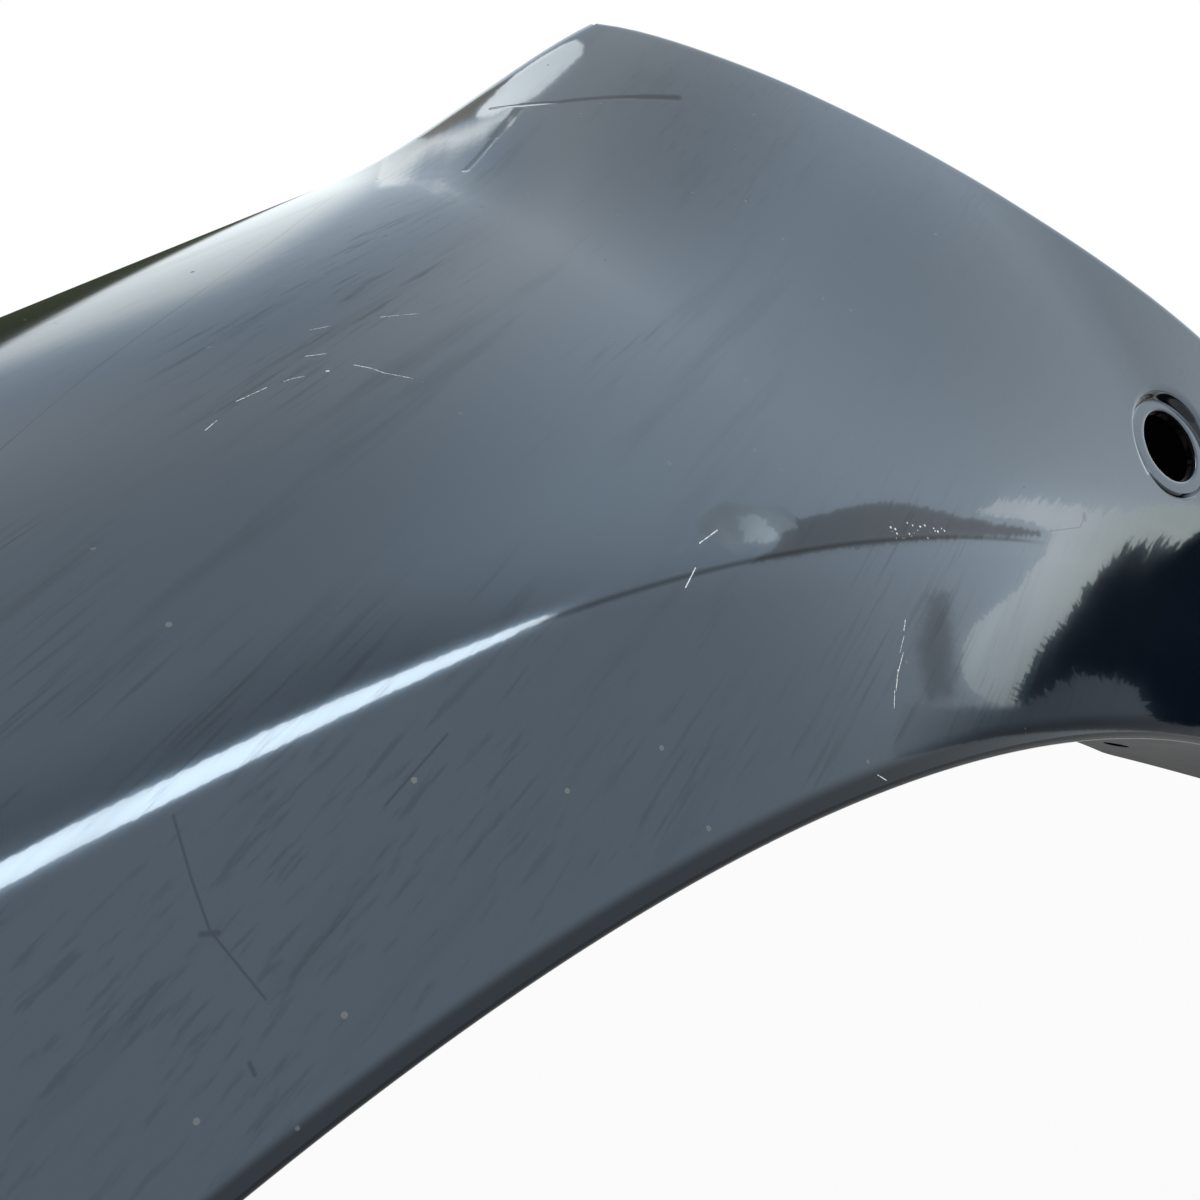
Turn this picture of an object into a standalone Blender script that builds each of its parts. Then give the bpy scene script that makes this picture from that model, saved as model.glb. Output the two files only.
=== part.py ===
# Left front fender of a passenger car: one pressed steel panel, upright as it sits on the car.
# +X points forward, +Y outboard (to the left) and +Z up. The panel is worked out about the centre
# of its wheel arch and then moved, so that the origin is the underside of the rear bonnet-side
# pad, where the panel is bolted down.

import bmesh
import bpy
import numpy as np

# Sheet
SHEET = 0.0008                # thickness of the pressed steel
PAINT_COLOUR = (0.012, 0.014, 0.017, 1.0)
PAINT_ROUGHNESS = 0.08
PAINT_METALLIC = 0.0

# Wheel arch and the flared band round it; angles are degrees rearward of the arch's top
ARCH_RADIUS = 0.380           # start of the folded lip
ARCH_FRONT = -78.0
ARCH_REAR = 108.0
BAND_WIDTH = 0.0388           # from the lip to the crease, in side view
BAND_LEAN = 0.0167            # how far the crease lies inboard of the lip
CREASE_HALF = 0.003           # half the width of the crease where it is crisp
CREASE_HALF_FADED = 0.016     # and where it has died out
CREASE_CRISP_TO = 12.0        # degrees either side of the arch's top
CREASE_FADED_FROM = 42.0
HAIR = 0.000002               # points this near the crease are worked out just above it

# Body side and shoulder: an upright side that rolls over into the top face
REAR_CORNER_X = -0.262        # upper rear corner, by the windscreen pillar
SIDE_TOP = ARCH_RADIUS - 0.095  # height where the side starts to roll over
SHOULDER_REACH = 0.165        # inboard reach of the roll
CREST = ARCH_RADIUS + 0.0967  # height of the shoulder's crest above the wheel's centre
CREST_FRONT_DROP = 0.31       # drop of the crest forward of the wheel, per metre squared
TAIL_LIFT = 0.028             # rise of the crest towards the rear upper corner
TAIL_LIFT_FROM = REAR_CORNER_X + 0.077
TAIL_LIFT_TO = REAR_CORNER_X - 0.028
NOSE_SWEEP_FROM = 0.250       # forward of here the side curves inboard
NOSE_SWEEP_RADIUS = 0.700

# Outline: the bonnet-side edge in plan, by distance forward of the rear corner and by Y
TOP_EDGE_PLAN = (
    (0.000, -0.118), (0.025, -0.127), (0.057, -0.1405), (0.097, -0.1545), (0.172, -0.1625),
    (0.362, -0.1705), (0.562, -0.1795), (0.807, -0.1905),
)

# The rear and front edges in side view, by degrees round the arch and by width beyond it
REAR_EDGE = (
    (29.7, 0.158), (31.3, 0.147), (36.2, 0.126), (43.7, 0.106), (55.5, 0.087), (68.8, 0.075),
    (82.3, 0.070),
)
LEG_WIDTH = 0.068             # width of the rear leg below the wheel's centre
FRONT_EDGE = (
    (-58.0, 0.254), (-61.6, 0.200), (-66.0, 0.138), (-71.5, 0.091), (-78.0, 0.062),
)

# Folded edges
LIP_RADIUS = 0.0012           # outside radius of the arch lip's fold
LIP_WIDTH = 0.024
TAB_WIDTH = 0.052             # reach of the liner tab on the lip
TAB_FRONT = 38.0
TAB_REAR = 53.0
TAB_SLOPE = 4.4               # degrees over which the tab's slanted sides rise
HEM_RADIUS = 0.0016
HEM_WIDTH = 0.016             # returns at the rear and front edges
END_WIDTH = 0.026             # returns at the sill and at the bumper joint
TOP_FOLD_RADIUS = 0.0065
GUTTER_DEPTH = 0.011          # drop from the bonnet gap to the bonnet-side flange
FLANGE_WIDTH = 0.024
CORNER_TAPER = 0.014          # the returns narrow over this length towards each corner
CORNER_SHARE = 0.20           # share of their width left at the corner

# Bonnet-side pads, flat and level, by their middles' distance forward of the rear corner
PAD_PLACES = (0.142, 0.372, 0.602)
PAD_LENGTH = 0.060
PAD_STEP = 0.0030             # how far a pad lies below the flange round it
BOLT_HOLE = 0.0090
BOLT_OFFSET = 0.014           # from a pad's middle forward to its bolt hole

# Side lamp seat
LAMP_ANGLE = 42.08
LAMP_BEYOND = 0.0733          # from the arch lip out to its centre, in side view
LAMP_HOLE = 0.0200
LAMP_SEAT = 0.0316
SEAT_DEPTH = 0.0021
SEAT_WALL = 0.0009            # run of the slope down into the seat, at its middle depth
SEAT_TILT = 6.0               # degrees by which the seat faces further up than the skin round it
HOLE_ROLL = 0.0008            # run of the turned-in edge round the hole
HOLE_TURN = 0.0024            # its depth below the seat

# Small holes
LINER_HOLE = 0.0065
LINER_ANGLES = (-68.0, -42.0, -16.0, 12.0, 72.0, 96.0)
TAB_HOLE_REACH = 0.038
HOLE_SIDES = 16

# How finely the panel is divided
FRONT_COLUMNS = 12
NOSE_COLUMNS = 30
SHOULDER_COLUMNS = 20
CORNER_COLUMNS = 22
LEG_COLUMNS = 18
SKIN_ROWS = 11
FOLD_STEPS = 2
CORNER_SHARE_OF_EDGE = 0.40   # share of the rear edge that the closer columns reach down to
CORNER_LEAD = 0.96            # where the corners' columns start on the arch, by their own angle


def smoothstep(t):
    t = np.clip(t, 0.0, 1.0)
    return t * t * (3.0 - 2.0 * t)


def crest_height(x):
    """Height of the shoulder's crest at each station along the car."""
    lift = smoothstep((TAIL_LIFT_FROM - x) / (TAIL_LIFT_FROM - TAIL_LIFT_TO))
    return CREST + TAIL_LIFT * lift - CREST_FRONT_DROP * np.clip(x, 0.0, None) ** 2


def roll_angle(x, z):
    """How far the shoulder has rolled over at a height on its outer side, in radians."""
    rise = crest_height(x) - SIDE_TOP
    return np.arcsin(np.clip((z - SIDE_TOP) / rise, 0.0, 1.0))


def nose_sweep(x):
    """How far the side has curved inboard towards the nose."""
    return np.clip(x - NOSE_SWEEP_FROM, 0.0, None) ** 2 / (2.0 * NOSE_SWEEP_RADIUS)


def side_plane(x):
    """Y of the upright part of the side, set so that the side passes through the crease."""
    crease_z = np.sqrt(np.clip((ARCH_RADIUS + BAND_WIDTH) ** 2 - x ** 2, 0.0, None))
    haunch = SHOULDER_REACH * (1.0 - np.cos(roll_angle(x, crease_z)))
    return haunch - BAND_LEAN - nose_sweep(x)


def girth_at(x, z):
    """Girth of the section, measured upwards from SIDE_TOP, at a height on the outer side."""
    rise = crest_height(x) - SIDE_TOP
    return np.where(z > SIDE_TOP, rise * roll_angle(x, z), z - SIDE_TOP)


def girth_at_y(x, y):
    """Girth at which the shoulder or the top face reaches a given Y."""
    rise = crest_height(x) - SIDE_TOP
    reach = side_plane(x) - y
    rolled = rise * np.arccos(np.clip(1.0 - reach / SHOULDER_REACH, 0.0, 1.0))
    return rolled + np.clip(reach - SHOULDER_REACH, 0.0, None)


def skin(x, girth):
    """Points of the outer face: the rolled section, blended into the band round the arch."""
    rise = crest_height(x) - SIDE_TOP
    quarter = rise * np.pi / 2.0
    level = SIDE_TOP + np.minimum(girth, 0.0) + rise * np.sin(np.clip(girth, 0.0, quarter) / rise)
    on_crease = np.abs(np.hypot(x, level) - ARCH_RADIUS - BAND_WIDTH) < HAIR
    x = x + np.where(on_crease, 2.0 * HAIR * np.sign(x), 0.0)
    girth = girth + np.where(on_crease, 2.0 * HAIR, 0.0)
    angle = np.clip(girth, 0.0, quarter) / rise
    z = SIDE_TOP + np.minimum(girth, 0.0) + rise * np.sin(angle)
    side = side_plane(x) - SHOULDER_REACH * (1.0 - np.cos(angle))
    side = side - np.clip(girth - quarter, 0.0, None)

    beyond = np.hypot(x, z) - ARCH_RADIUS - BAND_WIDTH
    beyond = np.where(np.abs(beyond) < 1e-7, 1e-7, beyond)
    band = -BAND_LEAN * (1.0 + beyond / BAND_WIDTH) - nose_sweep(x)
    turn = np.abs(np.degrees(np.arctan2(-x, z)))
    faded = smoothstep((turn - CREASE_CRISP_TO) / (CREASE_FADED_FROM - CREASE_CRISP_TO))
    half = CREASE_HALF + (CREASE_HALF_FADED - CREASE_HALF) * faded
    ramp = np.where(beyond > half, beyond, np.clip(beyond + half, 0.0, None) ** 2 / (4.0 * half))
    y = band + (side - band) * ramp / beyond
    return np.stack([x, y, z], axis=-1)


def curve_through(points, shares):
    """Points at shares of the length of a smooth curve through the given ones."""
    points = np.array(points)
    knots = np.concatenate([[0.0], np.cumsum(np.linalg.norm(np.diff(points, axis=0), axis=1))])
    slopes = np.gradient(points, knots, axis=0)
    at = np.asarray(shares) * knots[-1]
    i = np.clip(np.searchsorted(knots, at, side="right") - 1, 0, len(knots) - 2)
    span = (knots[i + 1] - knots[i])[:, None]
    t = ((at - knots[i])[:, None]) / span
    return (
        points[i] * (1 + 2 * t) * (1 - t) ** 2
        + points[i + 1] * t * t * (3 - 2 * t)
        + slopes[i] * span * t * (1 - t) ** 2
        - slopes[i + 1] * span * t * t * (1 - t)
    )


def arch_edge(angles):
    """Plan and girth of points on the wheel arch."""
    x = -ARCH_RADIUS * np.sin(np.radians(angles))
    z = ARCH_RADIUS * np.cos(np.radians(angles))
    return np.stack([x, girth_at(x, z)], axis=-1)


def seen_edge(points):
    """Plan and girth of points given in side view."""
    return np.stack([points[:, 0], girth_at(points[:, 0], points[:, 1])], axis=-1)


def round_arch(angle, beyond):
    """Side view of a point given by degrees round the arch and by width beyond it."""
    turn = np.radians(angle)
    radius = ARCH_RADIUS + beyond
    return (-radius * np.sin(turn), radius * np.cos(turn))


def top_edge(x):
    plan = np.array(TOP_EDGE_PLAN) + [REAR_CORNER_X, 0.0]
    fine = curve_through(plan, np.linspace(0.0, 1.0, 400))
    y = np.interp(x, fine[:, 0], fine[:, 1])
    return np.stack([x, girth_at_y(x, y)], axis=-1)


def top_corner(x):
    """Side view of the skin's corner where the bonnet-side edge ends."""
    edge = top_edge(np.array([x]))
    point = skin(edge[:, 0], edge[:, 1])[0]
    return (point[0], point[2])


def pad_stations():
    """Stations of the pads' ends, rear to front."""
    half = PAD_LENGTH / 2.0
    middles = [REAR_CORNER_X + place for place in PAD_PLACES]
    return [(middle - half, middle + half) for middle in middles]


def top_stations():
    """Stations of the columns along the bonnet-side edge, front to rear, with every pad's ends."""
    rear = REAR_CORNER_X
    front = REAR_CORNER_X + TOP_EDGE_PLAN[-1][0]
    stops = sorted([rear, front] + [x for ends in pad_stations() for x in ends], reverse=True)
    pitch = (front - rear) / (NOSE_COLUMNS + SHOULDER_COLUMNS)
    stations = [stops[0]]
    for start, stop in zip(stops, stops[1:]):
        count = max(1, int(round((start - stop) / pitch)))
        stations += list(np.linspace(start, stop, count + 1)[1:])
    return np.array(stations)


def sill_height():
    """Foot of the rear leg, level with the end of the arch."""
    return ARCH_RADIUS * np.cos(np.radians(ARCH_REAR))


def columns():
    """Inner and outer ends of every column of the skin, from the bumper joint to the sill."""
    stations = top_stations()
    nose = top_corner(stations[0])
    fore = [round_arch(*place) for place in FRONT_EDGE[::-1]] + [nose]
    front = curve_through(fore, np.linspace(0.0, 1.0, FRONT_COLUMNS + 1))
    tail = top_corner(stations[-1])
    leg = -ARCH_RADIUS - LEG_WIDTH
    aft = [tail] + [round_arch(*place) for place in REAR_EDGE] + [(leg, 0.0), (leg, sill_height())]
    shares = np.concatenate([
        np.linspace(0.0, CORNER_SHARE_OF_EDGE, CORNER_COLUMNS + 1)[1:],
        np.linspace(CORNER_SHARE_OF_EDGE, 1.0, LEG_COLUMNS + 1)[1:],
    ])
    rear = curve_through(aft, shares)
    outer = np.concatenate([seen_edge(front[:-1]), top_edge(stations), seen_edge(rear)])

    front_corner = np.degrees(np.arctan2(-nose[0], nose[1])) * CORNER_LEAD
    rear_corner = np.degrees(np.arctan2(-tail[0], tail[1])) * CORNER_LEAD
    travel = (stations[0] - stations) / (stations[0] - stations[-1])
    angles = np.concatenate([
        np.linspace(ARCH_FRONT, front_corner, FRONT_COLUMNS + 1),
        (front_corner + (rear_corner - front_corner) * travel)[1:],
        rear_corner + (ARCH_REAR - rear_corner) * shares,
    ])
    corners = (FRONT_COLUMNS, FRONT_COLUMNS + len(stations) - 1)
    return arch_edge(angles), outer, angles, corners


def skin_grid(inner, outer):
    """Columns of the skin in plan and girth, bent where they cross the crease."""
    start = skin(inner[:, 0], inner[:, 1])[:, [0, 2]]
    run = skin(outer[:, 0], outer[:, 1])[:, [0, 2]] - start
    a = (run * run).sum(axis=1)
    b = (start * run).sum(axis=1)
    c = (start * start).sum(axis=1) - (ARCH_RADIUS + BAND_WIDTH) ** 2
    share = (np.sqrt(b * b - a * c) - b) / a
    crease = seen_edge(start + run * share[:, None])

    edge = 1.0 - CREASE_HALF / BAND_WIDTH
    band = [inner + (crease - inner) * t for t in (0.0, 0.5, edge)]
    rest = np.linalg.norm(outer - crease, axis=1)[:, None]
    first = np.minimum(CREASE_HALF / rest, 0.5)
    above = [crease + (outer - crease) * (first + (1 - first) * t)
             for t in np.linspace(0.0, 1.0, SKIN_ROWS)]
    return np.stack(band + [crease] + above, axis=1)


def bend(points, along, towards, radius, steps):
    """Rows of a fold that starts at points heading along and ends heading towards."""
    cosine = np.clip((along * towards).sum(axis=1, keepdims=True), -1.0, 1.0)
    angle = np.arccos(cosine)
    across = (towards - along * cosine) / np.maximum(np.sin(angle), 1e-6)
    rows = []
    for step in range(1, steps + 1):
        a = angle * step / steps
        rows.append(points + radius * (across * (1.0 - np.cos(a)) + along * np.sin(a)))
    return rows


def heading_out(border, inside):
    """Unit directions in which the skin reaches its border, square to the border."""
    run = np.gradient(border, axis=0)
    run /= np.linalg.norm(run, axis=1, keepdims=True)
    out = border - inside
    out -= run * (out * run).sum(axis=1, keepdims=True)
    return out / np.linalg.norm(out, axis=1, keepdims=True)


def tapered(border, width):
    """Width of a return along its border, narrowed towards both corners."""
    steps = np.linalg.norm(np.diff(border, axis=0), axis=1)
    along = np.concatenate([[0.0], np.cumsum(steps)])
    near = np.minimum(along, along[-1] - along) / CORNER_TAPER
    return width * (CORNER_SHARE + (1.0 - CORNER_SHARE) * np.clip(near, 0.0, 1.0))


def lip_widths(angles):
    """Width of the arch lip: plain, with one slanted-sided tab for the liner."""
    rise = np.minimum(angles - TAB_FRONT, TAB_REAR - angles) / TAB_SLOPE
    return LIP_WIDTH + (TAB_WIDTH - LIP_WIDTH) * np.clip(rise, 0.0, 1.0)


def pad_height(ends):
    """Height of the outer face of a level pad: below the flange at both of its ends."""
    reach = top_edge(np.array(ends))
    edge = skin(reach[:, 0], reach[:, 1])[:, 2]
    return edge.min() - 2.0 * TOP_FOLD_RADIUS - GUTTER_DEPTH - PAD_STEP


class Sheet:
    """Collects the points and faces of the panel's outer face."""

    def __init__(self):
        self.points = []
        self.faces = []

    def add(self, points):
        start = len(self.points)
        self.points += [tuple(p) for p in points]
        return list(range(start, len(self.points)))

    def join(self, first, second):
        for a, b, c, d in zip(first, first[1:], second[1:], second):
            self.faces.append((a, b, c, d))

    def strip(self, border, rows):
        for row in rows:
            following = self.add(row)
            self.join(border, following)
            border = following


def lamp_frame():
    """Centre of the lamp seat on the skin, two directions across it, and its way out."""
    x, z = round_arch(LAMP_ANGLE, LAMP_BEYOND)
    girth = girth_at(x, z)
    step = 0.001
    centre = skin(x, girth)
    along_x = (skin(x + step, girth) - centre) / step
    along_girth = (skin(x, girth + step) - centre) / step
    out = np.cross(along_girth, along_x)
    out /= np.linalg.norm(out)
    first = along_x / np.linalg.norm(along_x)
    second = np.cross(first, out)
    return girth, centre, first, second, out


def lamp_rings(turns):
    """Rings of the lamp seat, from the skin round it down to the edge of its hole."""
    girth, centre, first, second, out = lamp_frame()
    across = np.cos(turns)[:, None] * first + np.sin(turns)[:, None] * second
    rings = []
    for radius in (LAMP_SEAT / 2.0 + SEAT_WALL * 2.0, LAMP_SEAT / 2.0):
        x = centre[0] + radius * np.cos(turns)
        g = girth + radius * np.sin(turns)
        for _ in range(3):
            miss = centre + radius * across - skin(x, g)
            x = x + miss @ first
            g = g + miss @ second
        rings.append(skin(x, g))
    tilt = np.radians(SEAT_TILT)
    way_out = out * np.cos(tilt) + second * np.sin(tilt)
    upward = second * np.cos(tilt) - out * np.sin(tilt)
    across = np.cos(turns)[:, None] * first + np.sin(turns)[:, None] * upward
    deeper = 1.0 + np.tan(tilt) * np.sin(turns)[:, None] * LAMP_SEAT / 2.0 / SEAT_DEPTH
    middle = centre - SEAT_DEPTH * out
    for radius, depth in (
        (LAMP_SEAT / 2.0 - SEAT_WALL * deeper, 0.0),
        (LAMP_HOLE / 2.0 + HOLE_ROLL, 0.0),
        (LAMP_HOLE / 2.0, HOLE_ROLL),
        (LAMP_HOLE / 2.0, HOLE_TURN),
    ):
        rings.append(middle + radius * across - depth * way_out)
    return rings


def outer_face():
    """The whole outer face: skin, lamp seat and folded edges."""
    inner, outer, angles, (front_corner, rear_corner) = columns()
    grid = skin_grid(inner, outer)
    points = skin(grid[..., 0], grid[..., 1])
    count, rows = points.shape[:2]
    sheet = Sheet()
    index = np.array(sheet.add(points.reshape(-1, 3))).reshape(count, rows)

    # Cells round the lamp seat make way for its rings
    girth, centre, first, second, out = lamp_frame()
    clear = LAMP_SEAT / 2.0 + SEAT_WALL * 3.5
    offset = points - centre
    near = np.hypot(offset @ first, offset @ second) < clear
    held = np.argwhere(near)
    i0, j0 = held.min(axis=0) - 1
    i1, j1 = held.max(axis=0) + 1
    for i in range(count - 1):
        for j in range(rows - 1):
            if not (i0 <= i < i1 and j0 <= j < j1):
                sheet.faces.append((index[i, j], index[i + 1, j], index[i + 1, j + 1], index[i, j + 1]))
    loop = [(i, j0) for i in range(i0, i1)] + [(i1, j) for j in range(j0, j1)]
    loop += [(i, j1) for i in range(i1, i0, -1)] + [(i0, j) for j in range(j1, j0, -1)]
    edge = np.array([points[i, j] for i, j in loop]) - centre
    turns = np.arctan2(edge @ second, edge @ first)
    previous = [index[i, j] for i, j in loop]
    for ring in lamp_rings(turns):
        following = sheet.add(ring)
        sheet.join(previous + previous[:1], following + following[:1])
        previous = following

    # Arch lip
    border = points[:, 0]
    inboard = np.tile([0.0, -1.0, 0.0], (count, 1))
    down = np.tile([0.0, 0.0, -1.0], (count, 1))
    folds = bend(border, heading_out(border, points[:, 1]), inboard, LIP_RADIUS, FOLD_STEPS)
    share = tapered(border, 1.0)[:, None]
    width = lip_widths(angles)[:, None] * share
    sheet.strip(list(index[:, 0]), folds + [folds[-1] + inboard * width])

    # Front and rear edges, and the ends at the bumper joint and the sill
    def returned(border, inside, names, radius, width, level=None):
        side = np.tile([0.0, -1.0, 0.0], (len(border), 1))
        rows = bend(border, heading_out(border, inside), side, radius, FOLD_STEPS)
        if level is not None:
            rows[-1][:, 2] = level
        reach = tapered(border, width)[:, None]
        sheet.strip(names, rows + [rows[-1] + side * reach])

    fore = slice(0, front_corner + 1)
    aft = slice(rear_corner, count)
    returned(points[fore, -1], points[fore, -2], list(index[fore, -1]), HEM_RADIUS, HEM_WIDTH)
    returned(points[aft, -1], points[aft, -2], list(index[aft, -1]), HEM_RADIUS, HEM_WIDTH)
    returned(points[0], points[1], list(index[0]), LIP_RADIUS, END_WIDTH)
    foot = sill_height() - LIP_RADIUS
    returned(points[-1], points[-2], list(index[-1]), LIP_RADIUS, END_WIDTH, foot)

    # Bonnet side: over the edge, down the gutter and inboard along the flange
    top = slice(front_corner, rear_corner + 1)
    border = points[top, -1]
    down = down[top]
    side = inboard[top]
    fold = bend(border, heading_out(border, points[top, -2]), down, TOP_FOLD_RADIUS, FOLD_STEPS)
    drop = tapered(border, GUTTER_DEPTH)
    for ends in pad_stations():
        level = pad_height(ends)
        on_pad = (border[:, 0] > ends[0] - 1e-6) & (border[:, 0] < ends[1] + 1e-6)
        drop = np.where(on_pad, fold[-1][:, 2] - TOP_FOLD_RADIUS - level, drop)
    foot = fold[-1] + down * drop[:, None]
    turned = bend(foot, down, side, TOP_FOLD_RADIUS, FOLD_STEPS)
    width = tapered(border, FLANGE_WIDTH)[:, None]
    sheet.strip(list(index[top, -1]), fold + [foot] + turned + [turned[-1] + side * width])
    return sheet


def material(name, colour, roughness, metallic):
    made = bpy.data.materials.new(name)
    made.use_nodes = True
    shader = made.node_tree.nodes["Principled BSDF"]
    shader.inputs["Base Color"].default_value = colour
    shader.inputs["Roughness"].default_value = roughness
    shader.inputs["Metallic"].default_value = metallic
    made.diffuse_color = colour
    return made


def pad_faces():
    """Middle of the underside of each bonnet-side pad."""
    places = []
    for ends in pad_stations():
        middle = (ends[0] + ends[1]) / 2.0
        reach = top_edge(np.array([middle]))
        edge = skin(reach[:, 0], reach[:, 1])[0]
        y = edge[1] - 2.0 * TOP_FOLD_RADIUS - FLANGE_WIDTH / 2.0
        places.append(np.array([middle, y, pad_height(ends) - SHEET]))
    return places


def sill_face():
    """Middle of the lower face of the sill return."""
    heel = ARCH_RADIUS + LEG_WIDTH
    toe = ARCH_RADIUS * np.sin(np.radians(ARCH_REAR))
    y = -BAND_LEAN - LIP_RADIUS - END_WIDTH / 2.0
    return np.array([-(heel + toe) / 2.0, y, sill_height() - LIP_RADIUS])


def hole_cutters(origin):
    """One mesh holding a pin through every small hole."""
    pins = bmesh.new()

    def pin(centre, axis, diameter, length):
        side = np.cross(axis, [1.0, 0.0, 0.0] if abs(axis[0]) < 0.9 else [0.0, 0.0, 1.0])
        side /= np.linalg.norm(side)
        other = np.cross(axis, side)
        ends = []
        for shift in (-length / 2.0, length / 2.0):
            ring = []
            for k in range(HOLE_SIDES):
                a = 2.0 * np.pi * k / HOLE_SIDES
                spoke = side * np.cos(a) + other * np.sin(a)
                ring.append(pins.verts.new(centre + axis * shift + spoke * diameter / 2.0 - origin))
            ends.append(ring)
        pins.faces.new(ends[0][::-1])
        pins.faces.new(ends[1])
        for k in range(HOLE_SIDES):
            n = (k + 1) % HOLE_SIDES
            pins.faces.new((ends[0][k], ends[0][n], ends[1][n], ends[1][k]))

    for pad in pad_faces():
        pin(pad + [BOLT_OFFSET, 0.0, 0.0], np.array([0.0, 0.0, 1.0]), BOLT_HOLE, 0.010)

    tab_angle = (TAB_FRONT + TAB_REAR) / 2.0
    reaches = [(angle, LIP_WIDTH * 0.6) for angle in LINER_ANGLES] + [(tab_angle, TAB_HOLE_REACH)]
    for angle, reach in reaches:
        turn = np.radians(angle)
        spoke = np.array([-np.sin(turn), 0.0, np.cos(turn)])
        y = -reach - LIP_RADIUS - nose_sweep(spoke[0] * ARCH_RADIUS)
        pin(spoke * (ARCH_RADIUS - LIP_RADIUS) + [0.0, y, 0.0], spoke, LINER_HOLE, 0.014)

    pin(sill_face() + [BOLT_OFFSET, 0.0, 0.0], np.array([0.0, 0.0, 1.0]), BOLT_HOLE, 0.014)
    mesh = bpy.data.meshes.new("hole_pins")
    pins.to_mesh(mesh)
    pins.free()
    cutter = bpy.data.objects.new("hole_pins", mesh)
    bpy.context.scene.collection.objects.link(cutter)
    cutter.hide_render = True
    cutter.display_type = "WIRE"
    return cutter


def main():
    for old in list(bpy.data.objects):
        bpy.data.objects.remove(old, do_unlink=True)

    origin = pad_faces()[0]
    sheet = outer_face()
    mesh = bpy.data.meshes.new("fender_panel")
    mesh.from_pydata([tuple(np.array(p) - origin) for p in sheet.points], [], sheet.faces)
    work = bmesh.new()
    work.from_mesh(mesh)
    bmesh.ops.recalc_face_normals(work, faces=work.faces)
    work.faces.ensure_lookup_table()
    if work.faces[0].normal.y < 0.0:
        bmesh.ops.reverse_faces(work, faces=work.faces)
    work.to_mesh(mesh)
    work.free()

    panel = bpy.data.objects.new("fender_panel", mesh)
    bpy.context.scene.collection.objects.link(panel)
    mesh.materials.append(material("gloss_paint", PAINT_COLOUR, PAINT_ROUGHNESS, PAINT_METALLIC))
    wall = panel.modifiers.new("sheet_thickness", "SOLIDIFY")
    wall.thickness = SHEET
    wall.offset = -1.0
    wall.use_even_offset = True
    holes = panel.modifiers.new("holes", "BOOLEAN")
    holes.operation = "DIFFERENCE"
    holes.solver = "EXACT"
    holes.object = hole_cutters(origin)
    mesh.shade_smooth()
    mesh.set_sharp_from_angle(angle=np.radians(35.0))


main()
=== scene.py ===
# Finish and surroundings of a car's left front fender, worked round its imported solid.
# +X is forward, +Y outboard and +Z up. Shapes are worked out about the centre of the wheel
# arch, then moved so that the origin is the underside of the rear bonnet-side pad.
import math

import bpy
import numpy as np
from mathutils import Matrix, Vector
from mathutils.geometry import delaunay_2d_cdt


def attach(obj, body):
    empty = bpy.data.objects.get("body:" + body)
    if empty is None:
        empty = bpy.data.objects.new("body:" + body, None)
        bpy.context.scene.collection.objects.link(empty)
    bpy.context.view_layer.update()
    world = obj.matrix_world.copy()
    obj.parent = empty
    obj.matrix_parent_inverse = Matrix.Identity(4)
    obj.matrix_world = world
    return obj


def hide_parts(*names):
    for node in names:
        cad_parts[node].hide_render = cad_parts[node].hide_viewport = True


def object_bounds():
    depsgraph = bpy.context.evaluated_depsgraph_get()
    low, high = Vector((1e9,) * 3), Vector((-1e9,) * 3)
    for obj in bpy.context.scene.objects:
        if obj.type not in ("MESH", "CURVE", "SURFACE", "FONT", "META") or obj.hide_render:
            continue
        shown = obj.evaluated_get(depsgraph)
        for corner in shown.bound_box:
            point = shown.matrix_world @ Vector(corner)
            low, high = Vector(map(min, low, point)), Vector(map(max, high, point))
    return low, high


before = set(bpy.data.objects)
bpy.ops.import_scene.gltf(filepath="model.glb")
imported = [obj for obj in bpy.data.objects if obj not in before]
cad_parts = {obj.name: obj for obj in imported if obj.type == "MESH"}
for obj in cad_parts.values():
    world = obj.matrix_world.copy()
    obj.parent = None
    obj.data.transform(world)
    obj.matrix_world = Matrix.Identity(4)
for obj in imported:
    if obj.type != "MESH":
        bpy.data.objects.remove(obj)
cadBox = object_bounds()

print("packed model loaded, box", cadBox)


def put(tree, kind, inputs=None, **settings):
    # one node, with its settings, and with each input set or linked
    node = tree.nodes.new(kind)
    for name, value in settings.items():
        setattr(node, name, value)
    for key, value in (inputs or {}).items():
        if isinstance(value, bpy.types.NodeSocket):
            tree.links.new(value, node.inputs[key])
        else:
            node.inputs[key].default_value = value
    return node


def calc(tree, operation, *values):
    # one Math node
    return put(tree, "ShaderNodeMath", dict(enumerate(values)), operation=operation).outputs[0]


def spread(tree, value, low, high, start=0.0, end=1.0):
    # value from low..high to start..end, eased at both ends
    sockets = {"Value": value, "From Min": low, "From Max": high, "To Min": start, "To Max": end}
    return put(tree, "ShaderNodeMapRange", sockets, interpolation_type="SMOOTHSTEP").outputs[0]


def tint(tree, factor, first, second):
    # one colour turning into another
    node = put(tree, "ShaderNodeMix", {0: factor, 6: first, 7: second}, data_type="RGBA")
    return node.outputs[2]


def newGroup(name, inputs, outputs):
    # an empty node group with named sockets
    tree = bpy.data.node_groups.new(name, "ShaderNodeTree")
    for label, kind, value in inputs:
        socket = tree.interface.new_socket(label, in_out="INPUT", socket_type=kind)
        if value is not None:
            socket.default_value = value
    for label, kind in outputs:
        tree.interface.new_socket(label, in_out="OUTPUT", socket_type=kind)
    return tree, tree.nodes.new("NodeGroupInput").outputs, tree.nodes.new("NodeGroupOutput").inputs


def place(tree, group, inputs):
    # a node group inside a material
    return put(tree, "ShaderNodeGroup", inputs, node_tree=group).outputs


def vector(tree, operation, output, *values):
    # one Vector Math node
    node = put(tree, "ShaderNodeVectorMath", dict(enumerate(values)), operation=operation)
    return node.outputs[output]


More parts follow.
